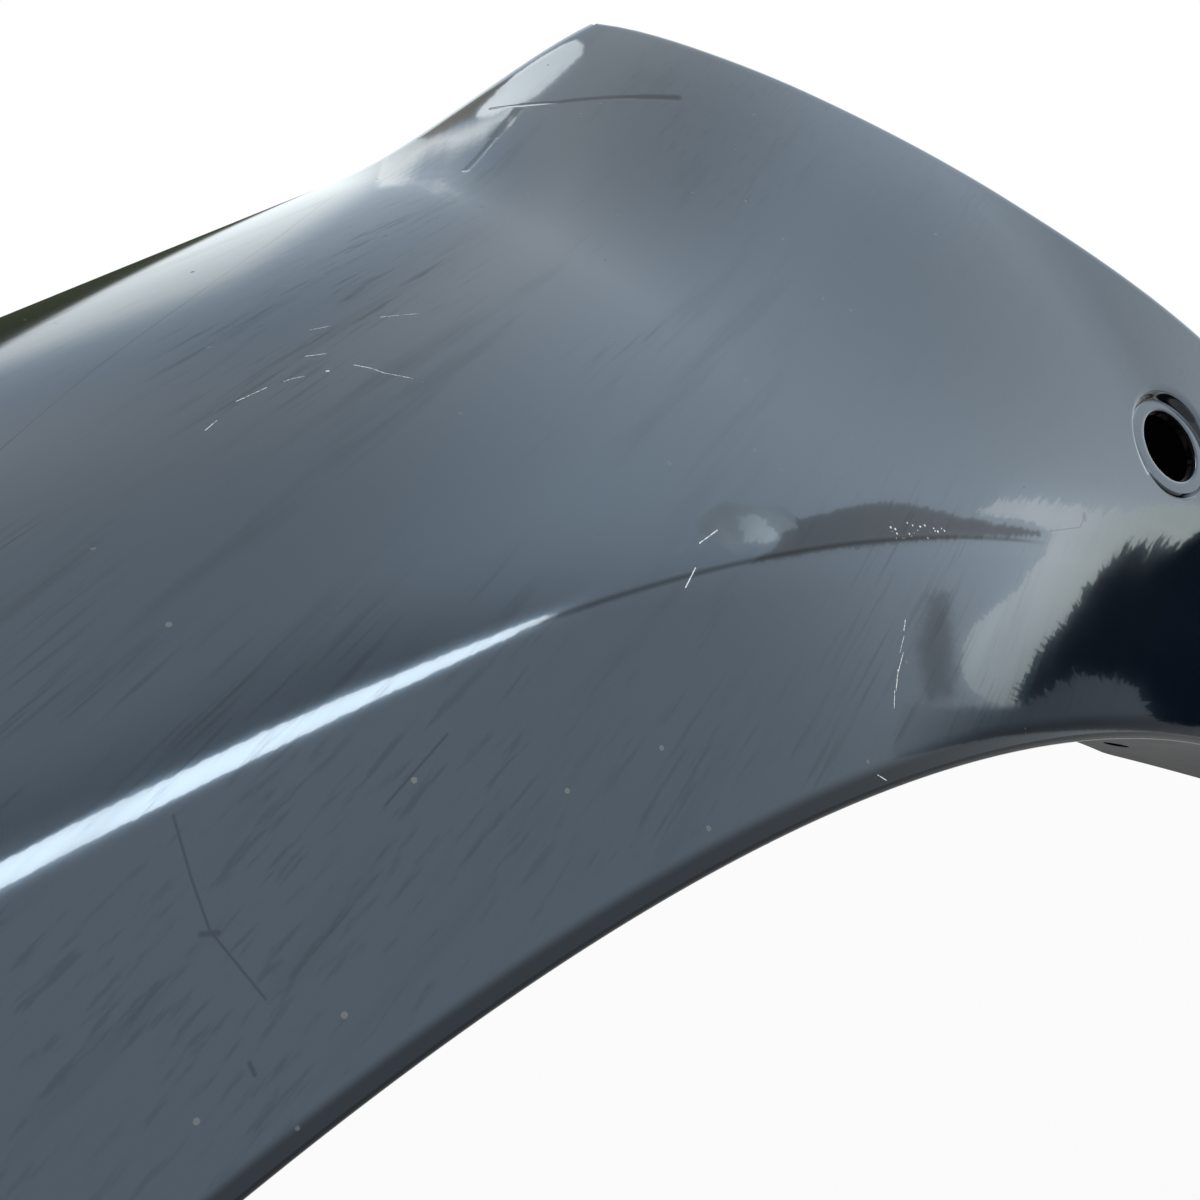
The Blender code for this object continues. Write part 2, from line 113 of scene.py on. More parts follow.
def noise(tree, spot, scale, detail):
    # the value of one noise
    return put(tree, "ShaderNodeTexNoise", {"Vector": spot, "Scale": scale, "Detail": detail}).outputs["Fac"]


def times(tree, first, *others):
    # values multiplied together
    for other in others:
        first = calc(tree, "MULTIPLY", first, other)
    return first


def largest(tree, first, *others):
    # the largest of some values
    for other in others:
        first = calc(tree, "MAXIMUM", first, other)
    return first


def newMaterial(name):
    # a material, its node tree and its Principled shader
    made = bpy.data.materials.new(name)
    made.use_nodes = True
    return made, made.node_tree, made.node_tree.nodes["Principled BSDF"]


def newObject(name, points, faces):
    # an object with a mesh, in the scene
    data = bpy.data.meshes.new(name)
    data.from_pydata(points, [], faces)
    item = bpy.data.objects.new(name, data)
    bpy.context.scene.collection.objects.link(item)
    return item


def unit(way):
    # a way of the same heading, one long
    return way / np.linalg.norm(way)


def square(middle, side, up):
    # corners of a flat square from its middle and its two half sides
    return [tuple(middle + side * i + up * j) for i, j in ((-1, -1), (1, -1), (1, 1), (-1, 1))]


# the panel's shape, in metres and in degrees rearward of the arch's top
panel = dict(
    sheet=0.0008,
    archRadius=0.380, archFront=-78.0, archRear=108.0,
    bandWidth=0.0388, bandLean=0.0167,
    creaseHalf=0.003, creaseHalfFaded=0.016, creaseCrispTo=12.0, creaseFadedFrom=42.0,
    hair=0.000002,
    rearCornerX=-0.262, sideTop=0.285, shoulderReach=0.165,
    crest=0.4767, crestFrontDrop=0.31, tailLift=0.028, tailLiftFrom=-0.185, tailLiftTo=-0.290,
    noseSweepFrom=0.250, noseSweepRadius=0.700,
    topEdgePlan=((0.0, -0.118), (0.025, -0.127), (0.057, -0.1405), (0.097, -0.1545),
                 (0.172, -0.1625), (0.362, -0.1705), (0.562, -0.1795), (0.807, -0.1905)),
    rearEdge=((29.7, 0.158), (31.3, 0.147), (36.2, 0.126), (43.7, 0.106), (55.5, 0.087),
              (68.8, 0.075), (82.3, 0.070)),
    legWidth=0.068,
    frontEdge=((-58.0, 0.254), (-61.6, 0.200), (-66.0, 0.138), (-71.5, 0.091), (-78.0, 0.062)),
    lipRadius=0.0012, lipWidth=0.024, tabWidth=0.052, tabFront=38.0, tabRear=53.0, tabSlope=4.4,
    hemRadius=0.0016, hemWidth=0.016, endWidth=0.026,
    topFoldRadius=0.0065, gutterDepth=0.011, flangeWidth=0.024,
    cornerTaper=0.014, cornerShare=0.20,
    padPlaces=(0.142, 0.372, 0.602), padLength=0.060, padStep=0.0030,
    boltHole=0.0090, boltOffset=0.014, linerHole=0.0065,
    linerShare=0.6, pinLength=0.010, lipPinLength=0.014,
    linerAngles=(-68.0, -42.0, -16.0, 12.0, 72.0, 96.0), tabHoleReach=0.038,
)

# how finely it is divided
mesh = dict(frontColumns=52, topColumns=220, cornerColumns=84, legColumns=50,
            bandRows=8, creaseRows=6, skinRows=58, foldSteps=5, flatSteps=3,
            cornerShareOfEdge=0.40, cornerLead=0.96, creaseShareAtMost=0.55, edgePoints=1200,
            patchMargin=0.0015, patchRings=3, loopRings=5, wallRings=11, seatRings=4, rollRings=5,
            grooveInset=2, skinTries=4, holeSides=28, sharpFrom=35.0)


def eased(t):
    # smooth step from 0 to 1
    t = np.clip(t, 0.0, 1.0)
    return t * t * (3.0 - 2.0 * t)


def crestHeight(x):
    # height of the shoulder's crest: a level line, lifted towards the rear corner by a smooth
    # step and dropped forward of the wheel by the square of the distance
    lift = eased((panel["tailLiftFrom"] - x) / (panel["tailLiftFrom"] - panel["tailLiftTo"]))
    drop = panel["crestFrontDrop"] * np.clip(x, 0.0, None) ** 2
    return panel["crest"] + panel["tailLift"] * lift - drop


def rollAngle(x, z):
    # turn of the shoulder at height z: the arcsine of the height's share of the rise
    rise = crestHeight(x) - panel["sideTop"]
    return np.arcsin(np.clip((z - panel["sideTop"]) / rise, 0.0, 1.0))


def noseSweep(x):
    # how far the side has curved inboard: distance squared over twice the radius
    return np.clip(x - panel["noseSweepFrom"], 0.0, None) ** 2 / (2.0 * panel["noseSweepRadius"])


def sidePlane(x):
    # Y of the upright side, so that the rolled section passes through the crease
    creaseRadius = panel["archRadius"] + panel["bandWidth"]
    creaseZ = np.sqrt(np.clip(creaseRadius ** 2 - x ** 2, 0.0, None))
    haunch = panel["shoulderReach"] * (1.0 - np.cos(rollAngle(x, creaseZ)))
    return haunch - panel["bandLean"] - noseSweep(x)


def girthAt(x, z):
    # length round the section above sideTop, at a height on its outer side
    rise = crestHeight(x) - panel["sideTop"]
    return np.where(z > panel["sideTop"], rise * rollAngle(x, z), z - panel["sideTop"])


def girthAtY(x, y):
    # length round the section where the shoulder reaches a given Y
    rise = crestHeight(x) - panel["sideTop"]
    reach = sidePlane(x) - y
    rolled = rise * np.arccos(np.clip(1.0 - reach / panel["shoulderReach"], 0.0, 1.0))
    return rolled + np.clip(reach - panel["shoulderReach"], 0.0, None)


def creaseHalfAt(x, z):
    # half the crease's width, growing from crisp to faded by a smooth step of the arch angle
    turn = np.abs(np.degrees(np.arctan2(-x, z)))
    faded = eased((turn - panel["creaseCrispTo"]) / (panel["creaseFadedFrom"] - panel["creaseCrispTo"]))
    return panel["creaseHalf"] + (panel["creaseHalfFaded"] - panel["creaseHalf"]) * faded


def skinAt(x, girth):
    # outer face at station x and girth: a quarter ellipse of section on an upright side, turned
    # by a parabola across the crease into a band that leans out to the arch; points within a
    # hair of the crease are worked out just above it, where the two slopes can be told
    rise = crestHeight(x) - panel["sideTop"]
    quarter = rise * np.pi / 2.0
    hair = panel["hair"]
    level = panel["sideTop"] + np.minimum(girth, 0.0) + rise * np.sin(np.clip(girth, 0.0, quarter) / rise)
    onCrease = np.abs(np.hypot(x, level) - panel["archRadius"] - panel["bandWidth"]) < hair
    x = x + np.where(onCrease, 2.0 * hair * np.sign(x), 0.0)
    girth = girth + np.where(onCrease, 2.0 * hair, 0.0)
    angle = np.clip(girth, 0.0, quarter) / rise
    z = panel["sideTop"] + np.minimum(girth, 0.0) + rise * np.sin(angle)
    side = sidePlane(x) - panel["shoulderReach"] * (1.0 - np.cos(angle))
    side = side - np.clip(girth - quarter, 0.0, None)
    beyond = np.hypot(x, z) - panel["archRadius"] - panel["bandWidth"]
    beyond = np.where(np.abs(beyond) < 1e-7, 1e-7, beyond)
    band = -panel["bandLean"] * (1.0 + beyond / panel["bandWidth"]) - noseSweep(x)
    half = creaseHalfAt(x, z)
    ramp = np.where(beyond > half, beyond, np.clip(beyond + half, 0.0, None) ** 2 / (4.0 * half))
    y = band + (side - band) * ramp / beyond
    return np.stack([x, y, z], axis=-1)


def steps(count):
    # even shares up to 1, without 0
    return np.linspace(0.0, 1.0, count + 1)[1:]


def curveThrough(points, shares):
    # points at shares of the length of a cubic that passes through the given ones
    points = np.array(points)
    knots = np.concatenate([[0.0], np.cumsum(np.linalg.norm(np.diff(points, axis=0), axis=1))])
    slopes = np.gradient(points, knots, axis=0)
    at = np.asarray(shares) * knots[-1]
    i = np.clip(np.searchsorted(knots, at, side="right") - 1, 0, len(knots) - 2)
    span = (knots[i + 1] - knots[i])[:, None]
    t = (at - knots[i])[:, None] / span
    return (points[i] * (1 + 2 * t) * (1 - t) ** 2 + points[i + 1] * t * t * (3 - 2 * t)
            + slopes[i] * span * t * (1 - t) ** 2 - slopes[i + 1] * span * t * t * (1 - t))


def archEdge(angles):
    # station and girth of points on the wheel arch
    x = -panel["archRadius"] * np.sin(np.radians(angles))
    z = panel["archRadius"] * np.cos(np.radians(angles))
    return np.stack([x, girthAt(x, z)], axis=-1)


def seenEdge(points):
    # station and girth of points given in side view
    return np.stack([points[:, 0], girthAt(points[:, 0], points[:, 1])], axis=-1)


def roundArch(angle, beyond):
    # side view of a point at an angle round the arch and a width beyond it
    radius = panel["archRadius"] + beyond
    return (-radius * math.sin(math.radians(angle)), radius * math.cos(math.radians(angle)))


def topEdge(x):
    # station and girth of the bonnet-side edge
    plan = np.array(panel["topEdgePlan"]) + [panel["rearCornerX"], 0.0]
    fine = curveThrough(plan, np.linspace(0.0, 1.0, mesh["edgePoints"]))
    return np.stack([x, girthAtY(x, np.interp(x, fine[:, 0], fine[:, 1]))], axis=-1)


def onTopEdge(stations):
    # points of the bonnet-side edge
    edge = topEdge(np.array(stations))
    return skinAt(edge[:, 0], edge[:, 1])


def topCorner(x):
    # side view of the bonnet-side edge at a station
    point = onTopEdge([x])[0]
    return (point[0], point[2])


padMiddles = [panel["rearCornerX"] + p for p in panel["padPlaces"]]
padEnds = [(m - panel["padLength"] / 2.0, m + panel["padLength"] / 2.0) for m in padMiddles]


def padHeight(ends):
    # outer face of a level pad, below the flange at both of its ends
    lowest = onTopEdge(ends)[:, 2].min()
    return lowest - 2.0 * panel["topFoldRadius"] - panel["gutterDepth"] - panel["padStep"]


def padUnderside(k):
    # middle of a pad's underside
    y = onTopEdge([padMiddles[k]])[0, 1] - 2.0 * panel["topFoldRadius"] - panel["flangeWidth"] / 2.0
    return np.array([padMiddles[k], y, padHeight(padEnds[k]) - panel["sheet"]])


origin = padUnderside(0)
sillHeight = panel["archRadius"] * math.cos(math.radians(panel["archRear"]))


def topStations():
    # stations along the bonnet-side edge, front to rear, with every pad's ends
    rear = panel["rearCornerX"]
    front = rear + panel["topEdgePlan"][-1][0]
    stops = sorted([rear, front] + [x for ends in padEnds for x in ends], reverse=True)
    pitch = (front - rear) / mesh["topColumns"]
    stations = [stops[0]]
    for start, stop in zip(stops, stops[1:]):
        stations += list(np.linspace(start, stop, max(1, round((start - stop) / pitch)) + 1)[1:])
    return np.array(stations)


def columnEnds():
    # inner and outer ends of every column of the skin, from the bumper joint to the sill
    stations = topStations()
    nose, tail = topCorner(stations[0]), topCorner(stations[-1])
    fore = [roundArch(*spot) for spot in panel["frontEdge"][::-1]] + [nose]
    front = curveThrough(fore, np.linspace(0.0, 1.0, mesh["frontColumns"] + 1))
    leg = -panel["archRadius"] - panel["legWidth"]
    aft = [tail] + [roundArch(*spot) for spot in panel["rearEdge"]] + [(leg, 0.0), (leg, sillHeight)]
    share = mesh["cornerShareOfEdge"]
    shares = np.concatenate([np.linspace(0.0, share, mesh["cornerColumns"] + 1)[1:],
                             np.linspace(share, 1.0, mesh["legColumns"] + 1)[1:]])
    rear = curveThrough(aft, shares)
    outer = np.concatenate([seenEdge(front[:-1]), topEdge(stations), seenEdge(rear)])
    noseTurn = math.degrees(math.atan2(-nose[0], nose[1])) * mesh["cornerLead"]
    tailTurn = math.degrees(math.atan2(-tail[0], tail[1])) * mesh["cornerLead"]
    travel = (stations[0] - stations) / (stations[0] - stations[-1])
    angles = np.concatenate([
        np.linspace(panel["archFront"], noseTurn, mesh["frontColumns"] + 1),
        (noseTurn + (tailTurn - noseTurn) * travel)[1:],
        tailTurn + (panel["archRear"] - tailTurn) * shares])
    corners = (mesh["frontColumns"], mesh["frontColumns"] + len(stations) - 1)
    return archEdge(angles), outer, angles, corners


def skinGrid(inner, outer):
    # station and girth over the skin: straight columns, bent where they cross the crease, with
    # close rows over the crease's width
    start = skinAt(inner[:, 0], inner[:, 1])[:, [0, 2]]
    run = skinAt(outer[:, 0], outer[:, 1])[:, [0, 2]] - start
    a = (run * run).sum(axis=1)
    b = (start * run).sum(axis=1)
    c = (start * start).sum(axis=1) - (panel["archRadius"] + panel["bandWidth"]) ** 2
    share = (np.sqrt(b * b - a * c) - b) / a
    cross = start + run * share[:, None]
    crease = seenEdge(cross)
    half = creaseHalfAt(cross[:, 0], cross[:, 1])[:, None]
    edge = 1.0 - half / panel["bandWidth"]
    rest = np.linalg.norm(outer - crease, axis=1)[:, None]
    first = np.minimum(half / rest, mesh["creaseShareAtMost"])
    shares = [edge * t for t in np.linspace(0.0, 1.0, mesh["bandRows"])]
    shares += [edge + (1 - edge) * t for t in steps(mesh["creaseRows"] - 1)]
    rows = [inner + (crease - inner) * t for t in shares]
    shares = [first * t for t in steps(mesh["creaseRows"] - 1)]
    shares += [first + (1 - first) * t for t in steps(mesh["skinRows"] - 1)]
    return np.stack(rows + [crease + (outer - crease) * t for t in shares], axis=1)


# the seat of the side lamp and its rolled hole; both are a little oval, drawn out forward and up
lamp = dict(angle=42.08, beyond=0.0733, hole=0.0190, holeShift=(0.0004, 0.0004), holeOval=0.05,
            seat=0.0308, seatShift=(0.0013, 0.0009), seatOval=0.09, seatDepth=0.0010, seatTilt=6.0,
            seatTurn=-2.0, wall=0.0018, wallSpread=0.0010, wallFullAt=0.0025, grooveDepth=0.0007,
            holeRoll=0.0010, holeTurn=0.0022, patch=0.0200)


def lampFrame():
    # centre of the seat on the skin, two directions across it and its way out
    x, z = roundArch(lamp["angle"], lamp["beyond"])
    girth = girthAt(x, z)
    step = 0.001
    centre = skinAt(x, girth)
    alongX = (skinAt(x + step, girth) - centre) / step
    alongGirth = (skinAt(x, girth + step) - centre) / step
    out = unit(np.cross(alongGirth, alongX))
    first = unit(alongX)
    return girth, centre, first, np.cross(first, out), out


def oval(turns, radius, stretch, shift):
    # an ellipse across the seat, drawn out along the diagonal by the stretch
    x = np.cos(turns) + stretch * np.sin(turns)
    y = np.sin(turns) + stretch * np.cos(turns)
    return radius * np.stack([x, y], axis=1) + shift


def lampRings(turns, stations, girths):
    # from a loop of the skin by rings on it down to the seat's edge, then an S-shaped wall, wider
    # where the seat lies deeper and grooved where it doesn't, the seat, which faces further up
    # than the skin, and the quarter turn into the hole
    girth, centre, first, second, out = lampFrame()
    plane = np.stack([first, second])
    slope = np.array([math.tan(math.radians(lamp["seatTurn"])), math.tan(math.radians(lamp["seatTilt"]))])
    wayOut = unit(out + slope @ plane)

    def onSeat(plan):
        return centre + plan @ plane - (lamp["seatDepth"] + plan @ slope)[:, None] * out

    rim, roll = lamp["hole"] / 2.0, lamp["holeRoll"]
    edgePlan = oval(turns, lamp["seat"] / 2.0, lamp["seatOval"], lamp["seatShift"])
    patchPlan = oval(turns, lamp["patch"], 0.0, (0.0, 0.0))
    rings = []
    for share in np.linspace(0.0, 1.0, mesh["patchRings"] + 1):
        plan = patchPlan + (edgePlan - patchPlan) * share
        x = centre[0] + plan[:, 0]
        g = girth + plan[:, 1]
        for _ in range(mesh["skinTries"]):
            miss = centre + plan @ plane - skinAt(x, g)
            x = x + miss @ first
            g = g + miss @ second
        if not rings:
            for near in steps(mesh["loopRings"])[:-1]:
                rings.append(skinAt(stations + (x - stations) * near, girths + (g - girths) * near))
        rings.append(skinAt(x, g))
    edge = rings[-1]
    sunk = np.clip((edge - onSeat(edgePlan)) @ out / lamp["wallFullAt"], 0.0, 1.0)
    middlePlan = np.array(lamp["seatShift"])
    wall = (lamp["wall"] + lamp["wallSpread"] * sunk) / (lamp["seat"] / 2.0)
    floorPlan = middlePlan + (edgePlan - middlePlan) * (1.0 - wall)[:, None]
    floor = onSeat(floorPlan)
    rise = (floor - edge) @ out
    for t in steps(mesh["wallRings"]):
        groove = lamp["grooveDepth"] * math.sin(math.pi * t) * (1.0 - sunk)
        flat = edge + (floor - edge) * t
        rings.append(flat + (rise * (eased(t) - t) - groove)[:, None] * out)
    rimPlan = oval(turns, rim + roll, lamp["holeOval"], lamp["holeShift"])
    for t in steps(mesh["seatRings"]):
        rings.append(onSeat(floorPlan + (rimPlan - floorPlan) * t))
    for t in np.linspace(0.0, np.pi / 2.0, mesh["rollRings"] + 1)[1:]:
        plan = oval(turns, rim + roll * (1.0 - math.sin(t)), lamp["holeOval"], lamp["holeShift"])
        rings.append(onSeat(plan) - roll * (1.0 - math.cos(t)) * wayOut)
    rimPlan = oval(turns, rim, lamp["holeOval"], lamp["holeShift"])
    rings.append(onSeat(rimPlan) - lamp["holeTurn"] * wayOut)
    return rings


def foldRows(points, along, towards, radius):
    # a round fold: the start heading along, turned by even steps until it heads towards
    angle = np.arccos(np.clip((along * towards).sum(axis=1, keepdims=True), -1.0, 1.0))
    across = (towards - along * np.cos(angle)) / np.maximum(np.sin(angle), 1e-6)
    turns = [angle * step / mesh["foldSteps"] for step in range(1, mesh["foldSteps"] + 1)]
    return [points + radius * (across * (1.0 - np.cos(a)) + along * np.sin(a)) for a in turns]


def headingOut(border, inside):
    # unit directions from the skin across its border, square to the border
    run = np.gradient(border, axis=0)
    run /= np.linalg.norm(run, axis=1, keepdims=True)
    out = border - inside
    out -= run * (out * run).sum(axis=1, keepdims=True)
    return out / np.linalg.norm(out, axis=1, keepdims=True)


def tapered(border, width):
    # width of a return, narrowed in a straight line towards both of its ends
    runs = np.linalg.norm(np.diff(border, axis=0), axis=1)
    along = np.concatenate([[0.0], np.cumsum(runs)])
    near = np.minimum(along, along[-1] - along) / panel["cornerTaper"]
    return width * (panel["cornerShare"] + (1.0 - panel["cornerShare"]) * np.clip(near, 0.0, 1.0))


def lipWidths(angles):
    # the lip's width: plain, with one slanted-sided tab for the liner
    rise = np.minimum(angles - panel["tabFront"], panel["tabRear"] - angles) / panel["tabSlope"]
    return panel["lipWidth"] + (panel["tabWidth"] - panel["lipWidth"]) * np.clip(rise, 0.0, 1.0)


def outerFace():
    # points, quads and the map (length round the arch, distance from its edge) of the outer face
    inner, outer, angles, (frontCorner, rearCorner) = columnEnds()
    grid = skinGrid(inner, outer)
    points = skinAt(grid[..., 0], grid[..., 1])
    count, rows = points.shape[:2]
    allPoints, allMaps, allFaces = [], [], []
    total = 0

    def add(rowPoints, rowMap):
        nonlocal total
        allPoints.append(rowPoints)
        allMaps.append(rowMap)
        total += len(rowPoints)
        return np.arange(total - len(rowPoints), total)

    def join(first, second):
        allFaces.append(np.stack([first[:-1], first[1:], second[1:], second[:-1]], axis=1))

    around = np.radians(angles) * panel["archRadius"]
    beyond = np.hypot(points[..., 0], points[..., 2]) - panel["archRadius"]
    maps = np.stack([np.broadcast_to(around[:, None], beyond.shape), beyond], axis=-1)
    index = add(points.reshape(-1, 3), maps.reshape(-1, 2)).reshape(count, rows)
    cells = np.stack([index[:-1, :-1], index[1:, :-1], index[1:, 1:], index[:-1, 1:]], axis=-1)

    # cells round the lamp seat make way for its rings; the map is a metre further out inside the
    # hole and two metres further round inside the groove, where the paint puts painted shade
    _, centre, first, second, _ = lampFrame()
    offset = points - centre
    held = np.argwhere(np.hypot(offset @ first, offset @ second) < lamp["patch"] + mesh["patchMargin"])
    i0, j0 = held.min(axis=0) - 1
    i1, j1 = held.max(axis=0) + 1
    kept = np.ones(cells.shape[:2], bool)
    kept[i0:i1, j0:j1] = False
    allFaces.append(cells[kept])
    loop = np.array([(i, j0) for i in range(i0, i1)] + [(i1, j) for j in range(j0, j1)]
                    + [(i, j1) for i in range(i1, i0, -1)] + [(i0, j) for j in range(j1, j0, -1)])
    edge = points[loop[:, 0], loop[:, 1]] - centre
    previous = index[loop[:, 0], loop[:, 1]]
    loopMap = maps[loop[:, 0], loop[:, 1]]
    middleMap = np.array([math.radians(lamp["angle"]) * panel["archRadius"], lamp["beyond"]])
    plan = grid[loop[:, 0], loop[:, 1]]
    rings = lampRings(np.arctan2(edge @ second, edge @ first), plan[:, 0], plan[:, 1])
    holeFrom = len(rings) - mesh["rollRings"]
    wallFrom = holeFrom - 1 - mesh["seatRings"] - mesh["wallRings"]
    grooved = range(wallFrom + mesh["grooveInset"], wallFrom + mesh["wallRings"] - mesh["grooveInset"])
    for k, ring in enumerate(rings):
        ringMap = loopMap + (middleMap - loopMap) * (k + 1.0) / (len(rings) + 2.0)
        if k >= holeFrom:
            ringMap = ringMap + [0.0, 1.0]
        elif k in grooved:
            ringMap = ringMap + [2.0, 0.0]
        following = add(ring, ringMap)
        join(np.append(previous, previous[0]), np.append(following, following[0]))
        previous = following

    def strip(names, start, startMap, rowList, sign, inwards):
        # rows of a folded edge, each a sheet's length further from the skin
        before, mapBefore = start, startMap
        for row in rowList:
            length = np.linalg.norm(row - before, axis=1)
            rowMap = mapBefore + np.stack([np.zeros_like(length), sign * length], axis=1)
            following = add(row, rowMap)
            join(following, names) if inwards else join(names, following)
            names, before, mapBefore = following, row, rowMap

    def flatRows(start, end):
        return [start + (end - start) * t for t in steps(mesh["flatSteps"])]

    inboard = np.tile([0.0, -1.0, 0.0], (count, 1))
    down = np.tile([0.0, 0.0, -1.0], (count, 1))

    # arch lip
    border = points[:, 0]
    folds = foldRows(border, headingOut(border, points[:, 1]), inboard, panel["lipRadius"])
    width = lipWidths(angles)[:, None] * tapered(border, 1.0)[:, None]
    lipRows = folds + flatRows(folds[-1], folds[-1] + inboard * width)
    strip(index[:, 0], border, maps[:, 0], lipRows, -1.0, True)

    # front and rear edges, and the ends at the bumper joint and the sill
    def returned(spot, inside, names, radius, width, inwards, level=None):
        border = points[spot]
        side = np.tile([0.0, -1.0, 0.0], (len(border), 1))
        rowList = foldRows(border, headingOut(border, points[inside]), side, radius)
        if level is not None:
            rowList[-1][:, 2] = level
        end = rowList[-1] + side * tapered(border, width)[:, None]
        strip(names, border, maps[spot], rowList + flatRows(rowList[-1], end), 1.0, inwards)

    fore = slice(0, frontCorner + 1)
    aft = slice(rearCorner, count)
    hem = (panel["hemRadius"], panel["hemWidth"])
    end = (panel["lipRadius"], panel["endWidth"])
    returned((fore, -1), (fore, -2), index[fore, -1], *hem, False)
    returned((aft, -1), (aft, -2), index[aft, -1], *hem, False)
    returned((0,), (1,), index[0], *end, False)
    returned((-1,), (-2,), index[-1], *end, True, sillHeight - panel["lipRadius"])

    # bonnet side: over the edge, down the gutter and inboard along the flange
    top = slice(frontCorner, rearCorner + 1)
    border = points[top, -1]
    fold = foldRows(border, headingOut(border, points[top, -2]), down[top], panel["topFoldRadius"])
    drop = tapered(border, panel["gutterDepth"])
    for ends in padEnds:
        onPad = (border[:, 0] > ends[0] - 1e-6) & (border[:, 0] < ends[1] + 1e-6)
        drop = np.where(onPad, fold[-1][:, 2] - panel["topFoldRadius"] - padHeight(ends), drop)
    foot = fold[-1] + down[top] * drop[:, None]
    turned = foldRows(foot, down[top], inboard[top], panel["topFoldRadius"])
    flange = turned[-1] + inboard[top] * tapered(border, panel["flangeWidth"])[:, None]
    rowList = fold + flatRows(fold[-1], foot) + turned + flatRows(turned[-1], flange)
    strip(index[top, -1], border, maps[top, -1], rowList, 1.0, False)
    return np.concatenate(allPoints), np.concatenate(allMaps), np.concatenate(allFaces)


def holePins():
    # pins through the bolt holes and the liner's holes, as closed prisms
    pins = [(padUnderside(k) + [panel["boltOffset"], 0.0, 0.0], (0.0, 0.0, 1.0), panel["boltHole"],
             panel["pinLength"]) for k in range(len(padEnds))]
    tabAngle = (panel["tabFront"] + panel["tabRear"]) / 2.0
    reaches = [(a, panel["lipWidth"] * panel["linerShare"]) for a in panel["linerAngles"]]
    for angle, reach in reaches + [(tabAngle, panel["tabHoleReach"])]:
        spoke = np.array([-math.sin(math.radians(angle)), 0.0, math.cos(math.radians(angle))])
        y = -reach - panel["lipRadius"] - noseSweep(spoke[0] * panel["archRadius"])
        centre = spoke * (panel["archRadius"] - panel["lipRadius"]) + [0.0, y, 0.0]
        pins.append((centre, spoke, panel["linerHole"], panel["lipPinLength"]))
    toe = panel["archRadius"] * math.sin(math.radians(panel["archRear"]))
    sillX = -(panel["archRadius"] + panel["legWidth"] + toe) / 2.0 + panel["boltOffset"]
    sillY = -panel["bandLean"] - panel["lipRadius"] - panel["endWidth"] / 2.0
    pins.append((np.array([sillX, sillY, sillHeight - panel["lipRadius"]]), (0.0, 0.0, 1.0),
                 panel["boltHole"], panel["lipPinLength"]))
    turn = 2.0 * np.pi * np.arange(mesh["holeSides"]) / mesh["holeSides"]
    points, faces = [], []
    for centre, axis, width, length in pins:
        axis = np.array(axis)
        side = unit(np.cross(axis, [1.0, 0.0, 0.0] if abs(axis[0]) < 0.9 else [0.0, 0.0, 1.0]))
        ring = (np.cos(turn)[:, None] * side + np.sin(turn)[:, None] * np.cross(axis, side)) * width / 2.0
        start, n = len(points), mesh["holeSides"]
        for shift in (-length / 2.0, length / 2.0):
            points += list(centre + axis * shift + ring - origin)
        faces.append([start + k for k in range(n)][::-1])
        faces.append([start + n + k for k in range(n)])
        faces += [(start + k, start + (k + 1) % n, start + n + (k + 1) % n, start + n + k)
                  for k in range(n)]
    return newObject("holePins", [tuple(p) for p in points], faces)


def buildPanel():
    # the outer face with its map, given its sheet's thickness, and pierced by the pins
    points, maps, faces = outerFace()
    piece = newObject("fenderShell", (points - origin).tolist(), faces.tolist())
    data = piece.data
    layer = data.uv_layers.new(name="roundArch")
    corners = np.empty(len(data.loops), dtype=np.int32)
    data.loops.foreach_get("vertex_index", corners)
    layer.data.foreach_set("uv", maps[corners].astype(np.float32).ravel())
    wall = piece.modifiers.new("sheet", "SOLIDIFY")
    wall.thickness = panel["sheet"]
    wall.offset = -1.0
    wall.use_even_offset = True
    wall.material_offset = 1
    wall.material_offset_rim = 1
    cutter = holePins()
    holes = piece.modifiers.new("holes", "BOOLEAN")
    holes.operation = "DIFFERENCE"
    holes.solver = "EXACT"
    holes.object = cutter
    bpy.context.view_layer.update()
    seen = piece.evaluated_get(bpy.context.evaluated_depsgraph_get())
    done = bpy.data.meshes.new_from_object(seen)
    piece.modifiers.clear()
    piece.data = done
    bpy.data.objects.remove(cutter)
    done.shade_smooth()
    done.set_sharp_from_angle(angle=math.radians(mesh["sharpFrom"]))
    return piece


# wiping marks: how often the noise changes in a metre along the wiping and across it
wipe = dict(Marks=(26.0, 760.0), Broad=(12.0, 150.0), Clouds=(9.0, 16.0), detail=3.0, roughness=0.6)


def buildWipeMarks():
    # noise drawn out along one direction, fine and broad, and slow clouds of it
    labels = ("Marks", "Broad", "Clouds")
    tree, source, sink = newGroup("wipeMarks", [
        ("Vector", "NodeSocketVector", None), ("Direction", "NodeSocketVector", None)],
        [(label, "NodeSocketFloat") for label in labels])
    flat = vector(tree, "CROSS_PRODUCT", 0, source["Direction"], (0.0, 0.0, 1.0))
    flat = vector(tree, "NORMALIZE", 0, flat)
    steep = vector(tree, "CROSS_PRODUCT", 0, source["Direction"], flat)
    axes = [vector(tree, "DOT_PRODUCT", 1, source["Vector"], way)
            for way in (source["Direction"], flat, steep)]
    turned = put(tree, "ShaderNodeCombineXYZ", dict(enumerate(axes))).outputs[0]
    for label in labels:
        reach, width = wipe[label]
        drawn = vector(tree, "MULTIPLY", 0, turned, (reach, width, width))
        made = put(tree, "ShaderNodeTexNoise", {"Vector": drawn, "Scale": 1.0, "Detail": wipe["detail"],
                                                "Roughness": wipe["roughness"]})
        tree.links.new(made.outputs["Fac"], sink[label])
    return tree


